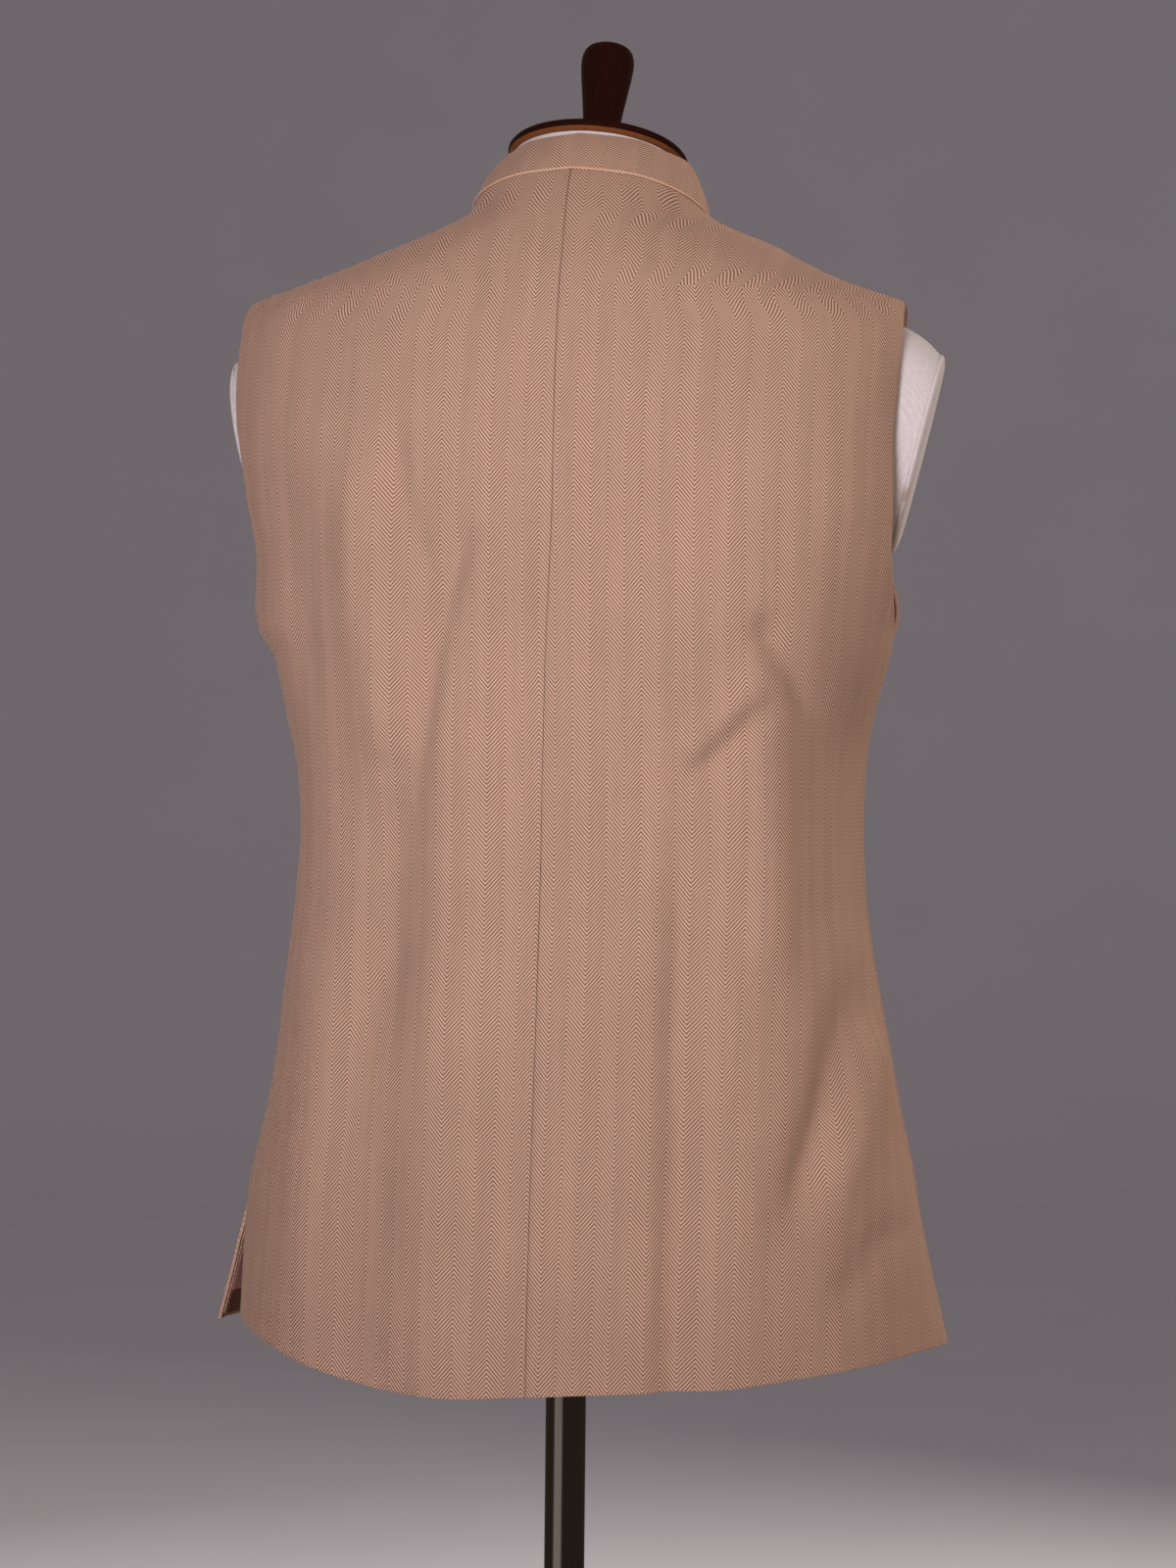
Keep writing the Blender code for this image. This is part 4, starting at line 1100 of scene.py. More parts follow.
def grid_piece(name: str, points: Array, grain: Array, outward: Array) -> Piece:
    """Makes a sheet of quads from a grid of points.

    Args:
        name: The piece's name.
        points: Rows and columns of points.
        grain: The flat place of each point, in metres, kept as a UV map.
        outward: A direction that the sheet's outside roughly faces, at each point.

    Returns:
        The sheet, with its faces outwards.
    """
    rows, columns = points.shape[:2]
    index = np.arange(rows * columns).reshape(rows, columns)
    quads = np.stack([index[:-1, :-1], index[:-1, 1:], index[1:, 1:], index[1:, :-1]], -1).reshape(-1, 4)
    if (normals_of(points) * outward).sum() > 0:
        quads = quads[:, ::-1]
    mesh = bpy.data.meshes.new(name)
    mesh.from_pydata(points.reshape(-1, 3).tolist(), [], quads.tolist())
    layer = mesh.uv_layers.new(name="grain")
    loops = np.empty(len(mesh.loops), np.int32)
    mesh.loops.foreach_get("vertex_index", loops)
    layer.data.foreach_set("uv", grain.reshape(-1, 2)[loops].astype(np.float32).ravel())
    mesh.shade_smooth()
    return new_piece(name, mesh)


def thicken(piece: Piece, wall: float, rounding: float) -> None:
    """Gives a sheet its wall, inwards, and rounds its rim. When the sheet has more than one finish, the rim
    takes the last.
    """
    rim = max(0, len(piece.data.materials) - 1)
    apply_modifier(
        piece, "SOLIDIFY", thickness=wall, offset=-1.0, use_quality_normals=True, material_offset_rim=rim
    )
    round_edges(piece, rounding, RIM_SHARP)
    piece.data.shade_smooth()


def ring_piece(name: str, rings: Sequence[Array]) -> Piece:
    """Makes a closed padded form through rings of points, with a cap on each end ring."""
    count = len(rings[0])
    points = np.concatenate([np.asarray(ring, float) for ring in rings])
    faces: list[tuple[int, ...]] = []
    for row in range(len(rings) - 1):
        for place in range(count):
            after = (place + 1) % count
            low, high = row * count, (row + 1) * count
            faces.append((low + place, low + after, high + after, high + place))
    faces.append(tuple(range(count)))
    faces.append(tuple(range(len(points) - count, len(points))))
    mesh = bpy.data.meshes.new(name)
    mesh.from_pydata(points.tolist(), [], faces)
    piece = new_piece(name, mesh)
    take(piece)
    edit_all()
    close_up()
    shade_smooth(piece)
    return piece


def turned_piece(name: str, profile: Sequence[Turn], sides: int = 64, rounding: float = 0.0) -> Piece:
    """Turns a piece as on a lathe: a disc, extruded and resized row by row.

    Args:
        name: The piece's name.
        profile: Its rows, from the foot up.
        sides: How many sides the disc has.
        rounding: Width of the bevel on its sharp edges.

    Returns:
        The piece, upright on the z axis.
    """
    deselect_all()
    foot = profile[0]
    bpy.ops.mesh.primitive_circle_add(
        vertices=sides, radius=foot.radius, fill_type="NGON", location=(0, 0, foot.height)
    )
    piece = bpy.context.object
    piece.name = name
    settle(piece)
    edit_all()
    extrude_rows(profile)
    close_up()
    if rounding:
        round_edges(piece, rounding)
    shade_smooth(piece)
    return piece


def place_piece(piece: Piece, place: Matrix) -> None:
    """Moves a piece to its place and settles it there."""
    piece.matrix_world = place
    settle(piece)


def join(pieces: Sequence[Piece], name: str) -> Piece:
    """Joins copies into one piece."""
    take(pieces[0])
    for piece in pieces[1:]:
        piece.select_set(True)
    bpy.ops.object.join()
    joined = bpy.context.object
    joined.name = name
    return joined


# ------------------------------------------------------------------ the waistcoat


@dataclass
class ClothPanel:
    """One quarter of the garment, cut from herringbone wool and hung on the body."""

    face: Face
    side: Side
    columns: int = 96
    wall: float = CLOTH_WALL
    edge_rounding: float = 0.00045
    neck_hold: int = 4
    seam_hold: int = 3
    hem_start: float = 0.5
    seam_gap: float = 0.0002
    seam_sink: float = 0.0005
    seam_reach: float = 0.0016
    vent_blend: float = 0.006
    pucker: float = 0.0002
    pucker_pitch: float = 0.0135
    pucker_stray: float = 1.7
    pucker_drift: float = 37.0
    pucker_reach: float = 0.009
    centre_pucker_reach: float = 0.008
    armhole_roll: float = 0.0004
    roll_place: float = 0.0045
    roll_reach: float = 0.0035
    yoke_foot: float = 1.345
    yoke_height: float = 0.030
    yoke_margin: float = 0.040
    button_strip: float = 0.045
    yoke_passes: int = 60

    @property
    def name(self) -> str:
        """The name of the panel, and of the solid that it stands for."""
        return f"{self.face.name}_{self.side.name}".lower()

    def outer_edge(self) -> tuple[Array, Array, Array]:
        """Turns and heights down the shoulder, armhole and side, and each row's span by name."""
        seam = self.side.value * seam_turn(self.side)
        cut_name = "back_cut" if self.face is Face.BACK else "front_cut"
        tip = float(CLOTH.read("half_width", SHOULDER_TIP))
        neck = neck_width()
        turns, heights, spans = [90.0], [neckline_height(90.0)], [SPANS[0].name]
        for span in SPANS:
            for row in range(1, span.rows + 1):
                share = row / span.rows
                spans.append(span.name)
                if span.name == "shoulder":
                    turns.append(90.0)
                    heights.append(CLOTH.shoulder_height(neck + share * (tip - neck)))
                elif span.name == "armhole":
                    share = (share + (1 - math.cos(math.pi * share)) / 2) / 2
                    cut = float(column(ARMHOLE, cut_name, share, "share"))
                    turns.append(90.0 + share * (seam - 90.0) - self.face.value * cut)
                    heights.append(SHOULDER_TIP + share * (UNDERARM - SHOULDER_TIP))
                else:
                    turns.append(seam)
                    foot = float(hem_height(self.face, self.side.value * VENT_X))
                    heights.append(UNDERARM + share * (foot - UNDERARM))
        return np.array(turns), np.array(heights), np.array(spans)

    def middle_line(self) -> Array:
        """Heights of the rows on the centre back or centre front line."""
        top = neckline_height(0.0 if self.face is Face.BACK else 180.0)
        bottom = float(hem_height(self.face, 0.0))
        shares = [0.0]
        for span in SPANS:
            end = span.back_share if self.face is Face.BACK else span.front_share
            start = shares[-1]
            shares += [start + (end - start) * row / span.rows for row in range(1, span.rows + 1)]
        return top + np.array(shares) * (bottom - top)

    def places(self) -> tuple[Array, Array]:
        """Turns and heights of the panel's grid, rows from the neck down, columns from the middle."""
        edge_turn, edge_height, _ = self.outer_edge()
        middle_height = self.middle_line()
        along = np.linspace(0, 1, self.columns + 1)
        if self.face is Face.BACK:
            middle = np.zeros_like(middle_height)
        else:
            middle = 180 + np.degrees(FRONT_LAP / CLOTH.read("half_width", middle_height))
        down = np.linspace(0, 1, len(edge_turn))[:, None]
        turns = middle[:, None] + along * (edge_turn - middle)[:, None]
        heights = middle_height[:, None] + along * (edge_height - middle_height)[:, None]
        lap = math.degrees(math.asin(FRONT_LAP / neck_width()))
        front = 180 + lap - (90 + lap) * along
        neck_turn, neck_height = neckline(90 * along if self.face is Face.BACK else front)
        top_share = (1 - down) ** self.neck_hold
        turns = turns + top_share * (neck_turn - turns[0])
        heights = heights + top_share * (neck_height - heights[0])
        turns = turns * self.side.value
        if self.face is Face.BACK:
            stray = column(CENTRE_BACK, "x", heights) / CLOTH.read("half_width", heights)
            turns = turns + np.degrees(stray) * (1 - along) ** self.seam_hold
        hem_x = CLOTH.point(turns[-1], heights[-1])[0]
        low_share = ease((down - self.hem_start) / (1 - self.hem_start))
        heights = heights + low_share * (hem_height(self.face, hem_x) - heights[-1])
        return turns, heights

    def finish_edges(self, points: Array, normal: Array) -> Array:
        """Sinks the cloth into its seams and puckers it beside them."""
        spans = self.outer_edge()[2][:, None]
        from_middle = lengths_along(points, 1)
        from_outer = from_middle[:, -1:] - from_middle
        from_top = lengths_along(points, 0)
        seamed = np.where(spans == "armhole", 0.0, 1.0)
        above_vent = ease((points[..., 2] - VENT_TOP + self.vent_blend) / self.vent_blend)
        seamed = np.where((spans == "side") & (points[..., 2] < VENT_TOP), above_vent, seamed)
        sink = seamed * np.exp(-((from_outer / self.seam_reach) ** 2))
        stray = self.pucker_stray * np.sin(from_top * self.pucker_drift)
        ripple = np.sin(from_top * 2 * math.pi / self.pucker_pitch + stray)
        gather = seamed * np.exp(-from_outer / self.pucker_reach) * ripple
        if self.face is Face.BACK:
            sink = sink + np.exp(-((from_middle / self.seam_reach) ** 2))
            gather = gather + np.exp(-from_middle / self.centre_pucker_reach) * ripple
        offset = self.pucker * gather - self.seam_sink * sink
        roll = np.exp(-(((from_outer - self.roll_place) / self.roll_reach) ** 2))
        offset = offset + self.armhole_roll * np.where(spans == "armhole", roll, 0.0)
        return points + normal * offset[..., None]

    def ease_yoke(self, points: Array) -> Array:
        """Rounds the cloth where it turns over from the back or chest on to the shoulder."""
        across = lengths_along(points, 1)
        inside = ease((across[:, -1:] - across) / self.yoke_margin)
        if self.face is Face.FRONT:
            inside = inside * ease((across - self.button_strip) / self.yoke_margin)
        share = inside * ease((points[..., 2] - self.yoke_foot) / self.yoke_height)
        share = share * ease(lengths_along(points, 0) / self.yoke_margin)
        for _ in range(self.yoke_passes):
            middle = (points[:-2] + points[2:]) / 2
            points[1:-1] += 0.5 * share[1:-1, :, None] * (middle - points[1:-1])
        return points

    def build(self) -> Piece:
        """Cuts, hangs and thickens the panel."""
        turns, heights = self.places()
        lapped = self.face is Face.FRONT and self.side is Side.LEFT
        lift = lap_lift(turns, heights) if lapped else 0.0
        points = cloth_point(self.face, turns, heights, lift)
        outward, normal = facing(points, turns, heights)
        points = self.ease_yoke(self.finish_edges(points, normal))
        edges = [((slice(None), -1), (slice(None), -2)), ((0,), (1,))]
        if self.face is Face.BACK:
            edges.append(((slice(None), 0), (slice(None), 1)))
        for first, second in edges:
            way = points[second] - points[first]
            points[first] += self.seam_gap / 2 * way / np.linalg.norm(way, axis=-1, keepdims=True)
        grain = grain_of(self.face, self.side, turns, heights)
        piece = grid_piece(self.name + "_cloth", points, grain, outward)
        for finish in (WOOL, WOOL_EDGE):
            piece.data.materials.append(finish.material())
        thicken(piece, self.wall, self.edge_rounding)
        dress(piece, WOOL, [self.name])
        return piece


def layer(
    name: str, face: Face, side: Side, turn: Array, height: Array, depth: float, steep: float, way: int = 1
) -> Piece:
    """Lays a sheet behind the cloth.

    Args:
        name: The sheet's name.
        face: The face that it lies behind.
        side: The side whose grain it follows.
        turn: Turn of each point of its grid.
        height: Height of each point.
        depth: How far behind the cloth's inside it lies.
        steep: How steeply the cloth's rough outward direction climbs.
        way: 1 if the sheet's outside faces out, or -1 if it faces the wearer.

    Returns:
        The sheet.
    """
    base = cloth_point(face, turn, height)
    outward, normal = facing(base, turn, height, steep)
    points = base - (CLOTH_WALL + depth) * normal
    return grid_piece(name, points, grain_of(face, side, turn, height), way * outward)


@dataclass
class SeamAllowances:
    """The pressed-open allowances behind the centre-back, shoulder and side seams."""

    reach: float = 0.0050
    depth: float = 0.0003
    wall: float = 0.0006
    rounding: float = 0.0002
    rows: int = 120
    columns: int = 7
    end: float = 0.002
    shoulder_end: float = 0.003
    shoulder_spread: float = 2.6
    side_spread: float = 1.7

    def strip(self, name: str, turn: Array, height: Array, spread: Array) -> Piece:
        """Lays one strip behind a seam.

        Args:
            name: The strip's name.
            turn: Turn of the seam, from its top down.
            height: Height of the seam.
            spread: Half the strip's width there, in degrees of turn.

        Returns:
            The strip, a thin sheet with both its sides closed.
        """
        across = np.linspace(-1, 1, self.columns)
        turns = turn[:, None] + spread[:, None] * across
        heights = np.broadcast_to(height[:, None], turns.shape)
        piece = layer(name, Face.BACK, Side.LEFT, turns, heights, self.depth, OUT_AND_UP)
        thicken(piece, self.wall, self.rounding)
        # The allowances are drawn in the darker wool, which paints the shade inside the garment.
        return dress(piece, WOOL_TURNED_UNDER_SHADED)

    def build(self) -> list[Piece]:
        """Makes the five strips."""
        share = np.linspace(0, 1, self.rows)
        top, hem = neckline_height(0.0), float(hem_height(Face.BACK, 0.0))
        height = top - self.end + share * (hem - top + 2 * self.end)
        half_width = CLOTH.read("half_width", height)
        stray = np.degrees(column(CENTRE_BACK, "x", height) / half_width)
        made = [self.strip("centre_back_allowance", stray, height, np.degrees(self.reach / half_width))]
        tip = float(CLOTH.read("half_width", SHOULDER_TIP))
        widths = neck_width() + self.shoulder_end + share * (tip - neck_width() - 2 * self.shoulder_end)
        ridge = np.array([CLOTH.shoulder_height(width) for width in widths])
        below = UNDERARM - self.end + share * (VENT_TOP - UNDERARM + self.end)
        for side in Side:
            word = side.name.lower()
            for name, turn, level, spread in (
                ("shoulder", 90.0 * side.value, ridge, self.shoulder_spread),
                ("side", seam_turn(side), below, self.side_spread),
            ):
                turns, spreads = np.full_like(share, turn), np.full_like(share, spread)
                made.append(self.strip(f"{name}_allowance_{word}", turns, level, spreads))
        return made


@dataclass
class BandCollar:
    """The standing collar, a band of interfaced cloth sewn round the neckline."""

    half_width: float = 0.0620
    sway: float = 0.0004
    back_reach: float = 0.0580
    front_reach: float = 0.0555
    centre: float = -0.0625
    end_turn: float = 177.0
    grain_shift: float = 0.006
    columns: int = 288
    rows: int = 22
    bow: float = 0.0022
    gap: float = 0.0002
    seam_ridge: float = 0.0005
    ridge_place: float = 0.0009
    ridge_reach: float = 0.0011
    corner_drop: float = 0.006
    corner_reach: float = 3.2
    edge_rounding: float = 0.0007
    roll_radius: float = 0.00055

    def build(self) -> Piece:
        """Sets the band on the neckline and leans it in to its top edge."""
        degrees = np.linspace(-self.end_turn, self.end_turn, self.columns + 1)
        turn, height = neckline(np.abs(degrees))
        turn = turn * np.sign(degrees)
        lift = lap_lift(turn, height)
        back = cloth_point(Face.BACK, turn, height, lift)
        front = cloth_point(Face.FRONT, turn, height, lift)
        foot = np.where((np.abs(degrees) <= 90)[:, None], back, front)
        angle = np.radians(degrees)
        reach = np.where(np.cos(angle) >= 0, self.back_reach, self.front_reach)
        top = np.stack(
            [
                self.sway + self.half_width * np.sin(angle),
                self.centre + reach * np.cos(angle),
                column(NECKLINE, "collar_top", np.abs(degrees), "angle"),
            ],
            -1,
        )
        outward = np.stack([np.sin(angle), np.cos(angle), np.zeros_like(angle)], -1)
        share = np.linspace(0, 1, self.rows + 1)[:, None, None]
        points = foot + (top - foot) * share + self.bow * 4 * share * (1 - share) * outward
        from_foot = lengths_along(points, 0)
        ridge = np.exp(-(((from_foot - self.ridge_place) / self.ridge_reach) ** 2))
        points = points + outward * (self.seam_ridge * ridge)[..., None]
        corner = np.abs(np.abs(degrees) - self.end_turn)
        drop = self.corner_drop * np.exp(-((corner / self.corner_reach) ** 2))
        points[..., 2] -= share[..., 0] ** 8 * drop
        points[..., 2] += self.gap
        along = lengths_along(top, 0)
        across = np.broadcast_to(along - along[-1] / 2 + self.grain_shift, from_foot.shape)
        grain = np.stack([across, from_foot], -1)
        piece = grid_piece("collar_cloth", points, grain, np.broadcast_to(outward, points.shape))
        thicken(piece, COLLAR_WALL, self.edge_rounding)
        dress(piece, WOOL, ["collar"])
        self.rolled_edge(points[0] + outward * self.seam_ridge, outward)
        return piece

    def rolled_edge(self, line: Array, outward: Array) -> Piece:
        """Rolls the band's foot over the seam, as a thin round edge in the lighter wool, a painted highlight.

        Args:
            line: The middle of the roll.
            outward: The outward direction at each place.

        Returns:
            The roll.
        """
        around = np.linspace(0, 2 * math.pi, 11)[:, None, None]
        upward = np.array([0.0, 0.0, 1.0])
        across = outward * np.cos(around) + upward * np.sin(around)
        points = line + self.roll_radius * across
        grain = np.stack(np.broadcast_arrays(lengths_along(line, 0), around[..., 0] * self.roll_radius), -1)
        roll = grid_piece("collar_rolled_edge", points, grain, across)
        apply_modifier(roll, "WELD", merge_threshold=0.00001)
        return dress(roll, WOOL_ROLLED_HIGHLIGHT)


@dataclass
class VentLayers:
    """What shows inside a front panel beside its side vent: turned-in edge, hem facing, lining."""

    side: Side
    inset: float = 0.005
    turn_reach: float = 26.0
    facing_height: float = 0.016
    lining_top: float = 0.100
    lower_edge: float = 0.0012
    edge_inset: float = 0.0003
    edge_ends: Pair = (0.55, 0.35)
    edge_gap: float = 0.0002
    gap: float = 0.0008
    wall: float = 0.0010
    pressed: float = 0.8
    rounding: float = 0.0003
    rows: int = 26
    columns: int = 40
    edge_columns: int = 8

    def strip(self, name: str, turns: Array, low: float, high: float, out: float) -> Piece:
        """Lays one thin layer on the inside of the front panel.

        Args:
            name: The layer's name.
            turns: Its columns, in degrees from the centre back.
            low: Its foot above the hem.
            high: Its top above the hem.
            out: How far it stands off the panel's inside.

        Returns:
            The layer, with its outside towards the wearer.
        """
        turn, height = np.meshgrid(turns * self.side.value, np.linspace(high, low, self.rows))
        x = cloth_point(Face.FRONT, turn, height + HEM_LEVEL)[..., 0]
        height = height + hem_height(Face.FRONT, x)
        piece = layer(name, Face.FRONT, self.side, turn, height, out + self.wall, steep=0.0, way=-1)
        thicken(piece, self.wall * self.pressed, self.rounding)
        return piece

    def build(self) -> list[Piece]:
        """Makes the lining, the hem facing and the turned-in vent edge."""
        word = self.side.name.lower()
        seam = self.side.value * seam_turn(self.side)
        start = seam + math.degrees(self.inset / HIP_RADIUS)
        turns = np.linspace(start, seam + self.turn_reach, self.columns)
        hem = self.strip(f"hem_facing_{word}_cloth", turns, self.lower_edge, self.facing_height, self.gap)
        # The hem facing is drawn in the darker wool: painted shade.
        dress(hem, WOOL_TURNED_UNDER_SHADED, [f"hem_facing_{word}"])
        foot = self.facing_height + SEAM_GAP
        lining = self.strip(f"lining_{word}_cloth", turns, foot, self.lining_top, self.gap)
        dress(lining, SATIN, [f"lining_{word}"])
        turns = np.linspace(seam + self.edge_ends[0], start - self.edge_ends[1], self.edge_columns)
        foot = self.lower_edge + self.edge_inset
        edge = self.strip(f"vent_edge_{word}", turns, foot, self.lining_top, self.edge_gap)
        dress(edge, WOOL_EDGE)
        return [hem, lining, edge]


@dataclass
class FrontButtons:
    """Five horn buttons down the left front, each sewn through four holes."""

    heights: tuple[float, ...] = (1.388, 1.288, 1.188, 1.088, 0.988)
    thickness: float = 0.0032
    profile: tuple[Pair, ...] = (
        (0.0079, 0.0), (0.0091, 0.0005), (0.0095, 0.0013), (0.0092, 0.0022), (0.0085, 0.0030),
        (0.0077, 0.0032), (0.0068, 0.0030), (0.0059, 0.0023), (0.0030, 0.0020),
    )
    stand_off: float = 0.0007
    seat_reach: float = 0.008
    hole_spacing: float = 0.0026
    hole_radius: float = 0.0009
    thread_radius: float = 0.00055
    thread_sink: float = 0.0007
    slit_length: float = 0.022
    slit_blank: float = 0.0017
    slit_loop: float = 0.0012
    slit_flatness: float = 0.6
    slit_place: Triple = (-0.004, 0.0, -0.0004)

    def blank(self) -> Piece:
        """Turns one button and drills its four holes."""
        button = turned_piece("button_blank", [Turn(*row) for row in self.profile], sides=48)
        for x in (-1, 1):
            for y in (-1, 1):
                deselect_all()
                place = (x * self.hole_spacing / 2, y * self.hole_spacing / 2, self.thickness / 2)
                bpy.ops.mesh.primitive_cylinder_add(
                    vertices=16, radius=self.hole_radius, depth=0.01, location=place
                )
                drill = bpy.context.object
                apply_modifier(button, "BOOLEAN", object=drill, operation="DIFFERENCE")
                bpy.data.objects.remove(drill)
        shade_smooth(button)
        return button

    def thread_cross(self) -> Piece:
        """Lays two strands of thread across the holes."""
        strands = []
        for way in (45, 135):
            deselect_all()
            bpy.ops.mesh.primitive_cylinder_add(
                vertices=10,
                radius=self.thread_radius,
                depth=self.hole_spacing * 1.5,
                location=(0, 0, self.thickness - self.thread_sink),
                rotation=(math.pi / 2, 0, math.radians(way)),
            )
            strands.append(bpy.context.object)
        return join(strands, "thread_blank")

    def seat(self, height: float) -> Matrix:
        """Where a button lies on the left front: its middle and its lean."""
        turn = np.full((1, 3), 180.0)
        heights = height + self.seat_reach * np.array([[-1, 0, 1]])
        below, base, above = cloth_point(Face.FRONT, turn, heights, LAP_LIFT)[0]
        lean = math.atan2(below[1] - above[1], 2 * self.seat_reach)
        rotation = Matrix.Rotation(math.pi / 2 + lean, 4, "X")
        away = rotation @ Vector((0, 0, 1))
        return Matrix.Translation(Vector(base) + away * self.stand_off) @ rotation

    def buttonhole(self, height: float) -> Piece:
        """Sews one buttonhole: a flat oval of thread round a slit, beside the button."""
        deselect_all()
        bpy.ops.mesh.primitive_torus_add(
            major_radius=self.slit_loop, minor_radius=self.thread_radius, major_segments=32, minor_segments=8
        )
        ring = bpy.context.object
        edit_all()
        stretch = self.slit_length / 2 / self.slit_blank
        bpy.ops.transform.resize(value=(stretch, 1, self.slit_flatness), center_override=(0, 0, 0))
        bpy.ops.object.mode_set(mode="OBJECT")
        place_piece(ring, self.seat(height) @ Matrix.Translation(self.slit_place))
        return ring

    def build(self) -> list[Piece]:
        """Makes each button, its thread and its buttonhole."""
        blank, cross = self.blank(), self.thread_cross()
        made, crosses, holes = [], [], []
        for number, height in enumerate(self.heights, 1):
            button = new_piece(f"button_{number}_horn", blank.data.copy())
            crosses.append(new_piece("strand", cross.data.copy()))
            for piece in (button, crosses[-1]):
                place_piece(piece, self.seat(height))
            made.append(dress(button, HORN, [f"button_{number}"]))
            holes.append(self.buttonhole(height))
        bpy.data.objects.remove(blank)
        bpy.data.objects.remove(cross)
        made.append(dress(join(crosses, "button_thread"), THREAD))
        made.append(dress(join(holes, "buttonholes"), THREAD))
        return made


# ------------------------------------------------------------------ the dress form


@dataclass
class DressForm:
    """The padded canvas body with its arm plates, wooden cap and steel stand."""

    rows: int = 90
    quarter: int = 32
    row_crowding: float = 1.1
    shoulder_rows: float = 0.22
    shoulder_drop: float = 0.099
    neck_rows: int = 14
    neck_foot_share: float = 0.06
    stub_rows: int = 18
    plate_out: float = 0.2244
    plate_dome: float = 0.0038
    plate_shrink: float = 0.0125
    plate_rows: int = 8
    plate_top: float = 1.3880
    plate_lean: float = 0.25
    plate_skew: float = 0.10
    stub_centre: float = -0.033
    cap_foot: float = 0.0021
    pole_radius: float = 0.0125
    flange_radius: float = 0.055
    base_radius: float = 0.196
    base_thickness: float = 0.012
    base_sides: int = 128
    tube_sides: int = 80
    steel_rounding: float = 0.0008

    def cap_place(self) -> Matrix:
        """Frame of the neck's top: tilted forwards and rolled a little to the right."""
        rolled = Matrix.Translation(CAP_CENTRE) @ Matrix.Rotation(CAP_ROLL, 4, "Y")
        return rolled @ Matrix.Rotation(CAP_TILT, 4, "X")

    def neck_foot(self, degrees: Array) -> tuple[Array, Array]:
        """Turn and height of the oval where the neck grows out of the shoulders."""
        angle = np.radians(degrees)
        centre = TORSO.read("side", TORSO.shoulder_height(NECK_HALF_WIDTH))
        reach = np.where(np.cos(angle) >= 0, NECK_BACK_REACH, NECK_FRONT_REACH)
        return TORSO.drop_on_shoulders(NECK_HALF_WIDTH * np.sin(angle), centre + reach * np.cos(angle))

    def body_rings(self) -> list[Array]:
        """Rings of the padded body, from the foot of its neck down."""
        shares = np.linspace(0, 1, self.rows) ** self.row_crowding
        below = (shares - self.shoulder_rows) / (1 - self.shoulder_rows)
        drop = self.shoulder_drop + (1 - self.shoulder_drop) * below
        drop = np.where(below < 0, self.shoulder_drop * shares / self.shoulder_rows, drop)
        neck_height = TORSO.shoulder_height(NECK_HALF_WIDTH)
        ridge = neck_height + (TORSO_BOTTOM - neck_height) * drop
        quarter = np.linspace(0, 1, self.quarter + 1)
        top_back, top_front = self.neck_foot(90 * quarter), self.neck_foot(90 + 90 * quarter)
        rings = []
        for share, ridge_height in zip(shares, ridge):
            back_height = top_back[1][0] + share * (TORSO_BOTTOM - top_back[1][0])
            front_height = top_front[1][-1] + share * (TORSO_BOTTOM - top_front[1][-1])
            fade = (1 - share) ** 6
            turns, heights = [], []
            for (top_turn, top_height), start, end, first in (
                (top_back, back_height, ridge_height, 0.0),
                (top_front, ridge_height, front_height, 90.0),
            ):
                level = top_height[0] + (top_height[-1] - top_height[0]) * quarter
                turns.append(first + 90 * quarter + fade * (top_turn - first - 90 * quarter))
                heights.append(start + (end - start) * quarter + fade * (top_height - level))
            half_turn = np.concatenate([turns[0], turns[1][1:]])
            half_height = np.concatenate([heights[0], heights[1][1:]])
            turn = np.concatenate([half_turn, -half_turn[-2:0:-1]])
            height = np.concatenate([half_height, half_height[-2:0:-1]])
            x, y, _ = TORSO.point(turn, height)
            rings.append(np.stack([x, y, height], -1))
        return rings

    def torso(self) -> Piece:
        """Lofts the body from the neck down, with the neck's top under the cap."""
        rings = self.body_rings()
        foot = rings[0]
        place = self.cap_place()
        centre = TORSO_SECTIONS[-1].side
        top = [
            place @ Vector((NECK_RADIUS * math.sin(at), NECK_RADIUS * math.cos(at), -SEAM_GAP))
            for at in np.arctan2(foot[:, 0], foot[:, 1] - centre)
        ]
        shares = np.linspace(1, self.neck_foot_share, self.neck_rows)
        neck = [foot + (np.array(top) - foot) * share for share in shares]
        return ring_piece("torso_canvas", neck + rings)

    def stations(self, rows: Sequence[Station], count: int) -> list[Station]:
        """Reads more stations off a smooth curve through the given ones."""
        places = [row.out for row in rows]
        at = np.linspace(places[0], places[-1], count)
        names = Station._fields[1:]
        read = [smooth(places, [getattr(row, name) for row in rows], at) for name in names]
        return [Station(*map(float, values)) for values in zip(at, *read)]

    def ovals(self, stations: Sequence[Station], side: Side, sides: int = 72) -> list[Array]:
        """Flat oval rings across an arm stub, leaning in at their foot and turned a little forwards."""
        angle = np.linspace(0, 2 * math.pi, sides, endpoint=False)
        rings = []
        for station in stations:
            middle = (station.top + station.bottom) / 2
            height = middle + (station.top - station.bottom) / 2 * np.cos(angle)
            depth = station.half_depth * np.sin(angle)
            out = station.out - self.plate_lean * (self.plate_top - height) + self.plate_skew * depth
            rings.append(np.stack([side.value * out, self.stub_centre + depth, height], -1))
        return rings

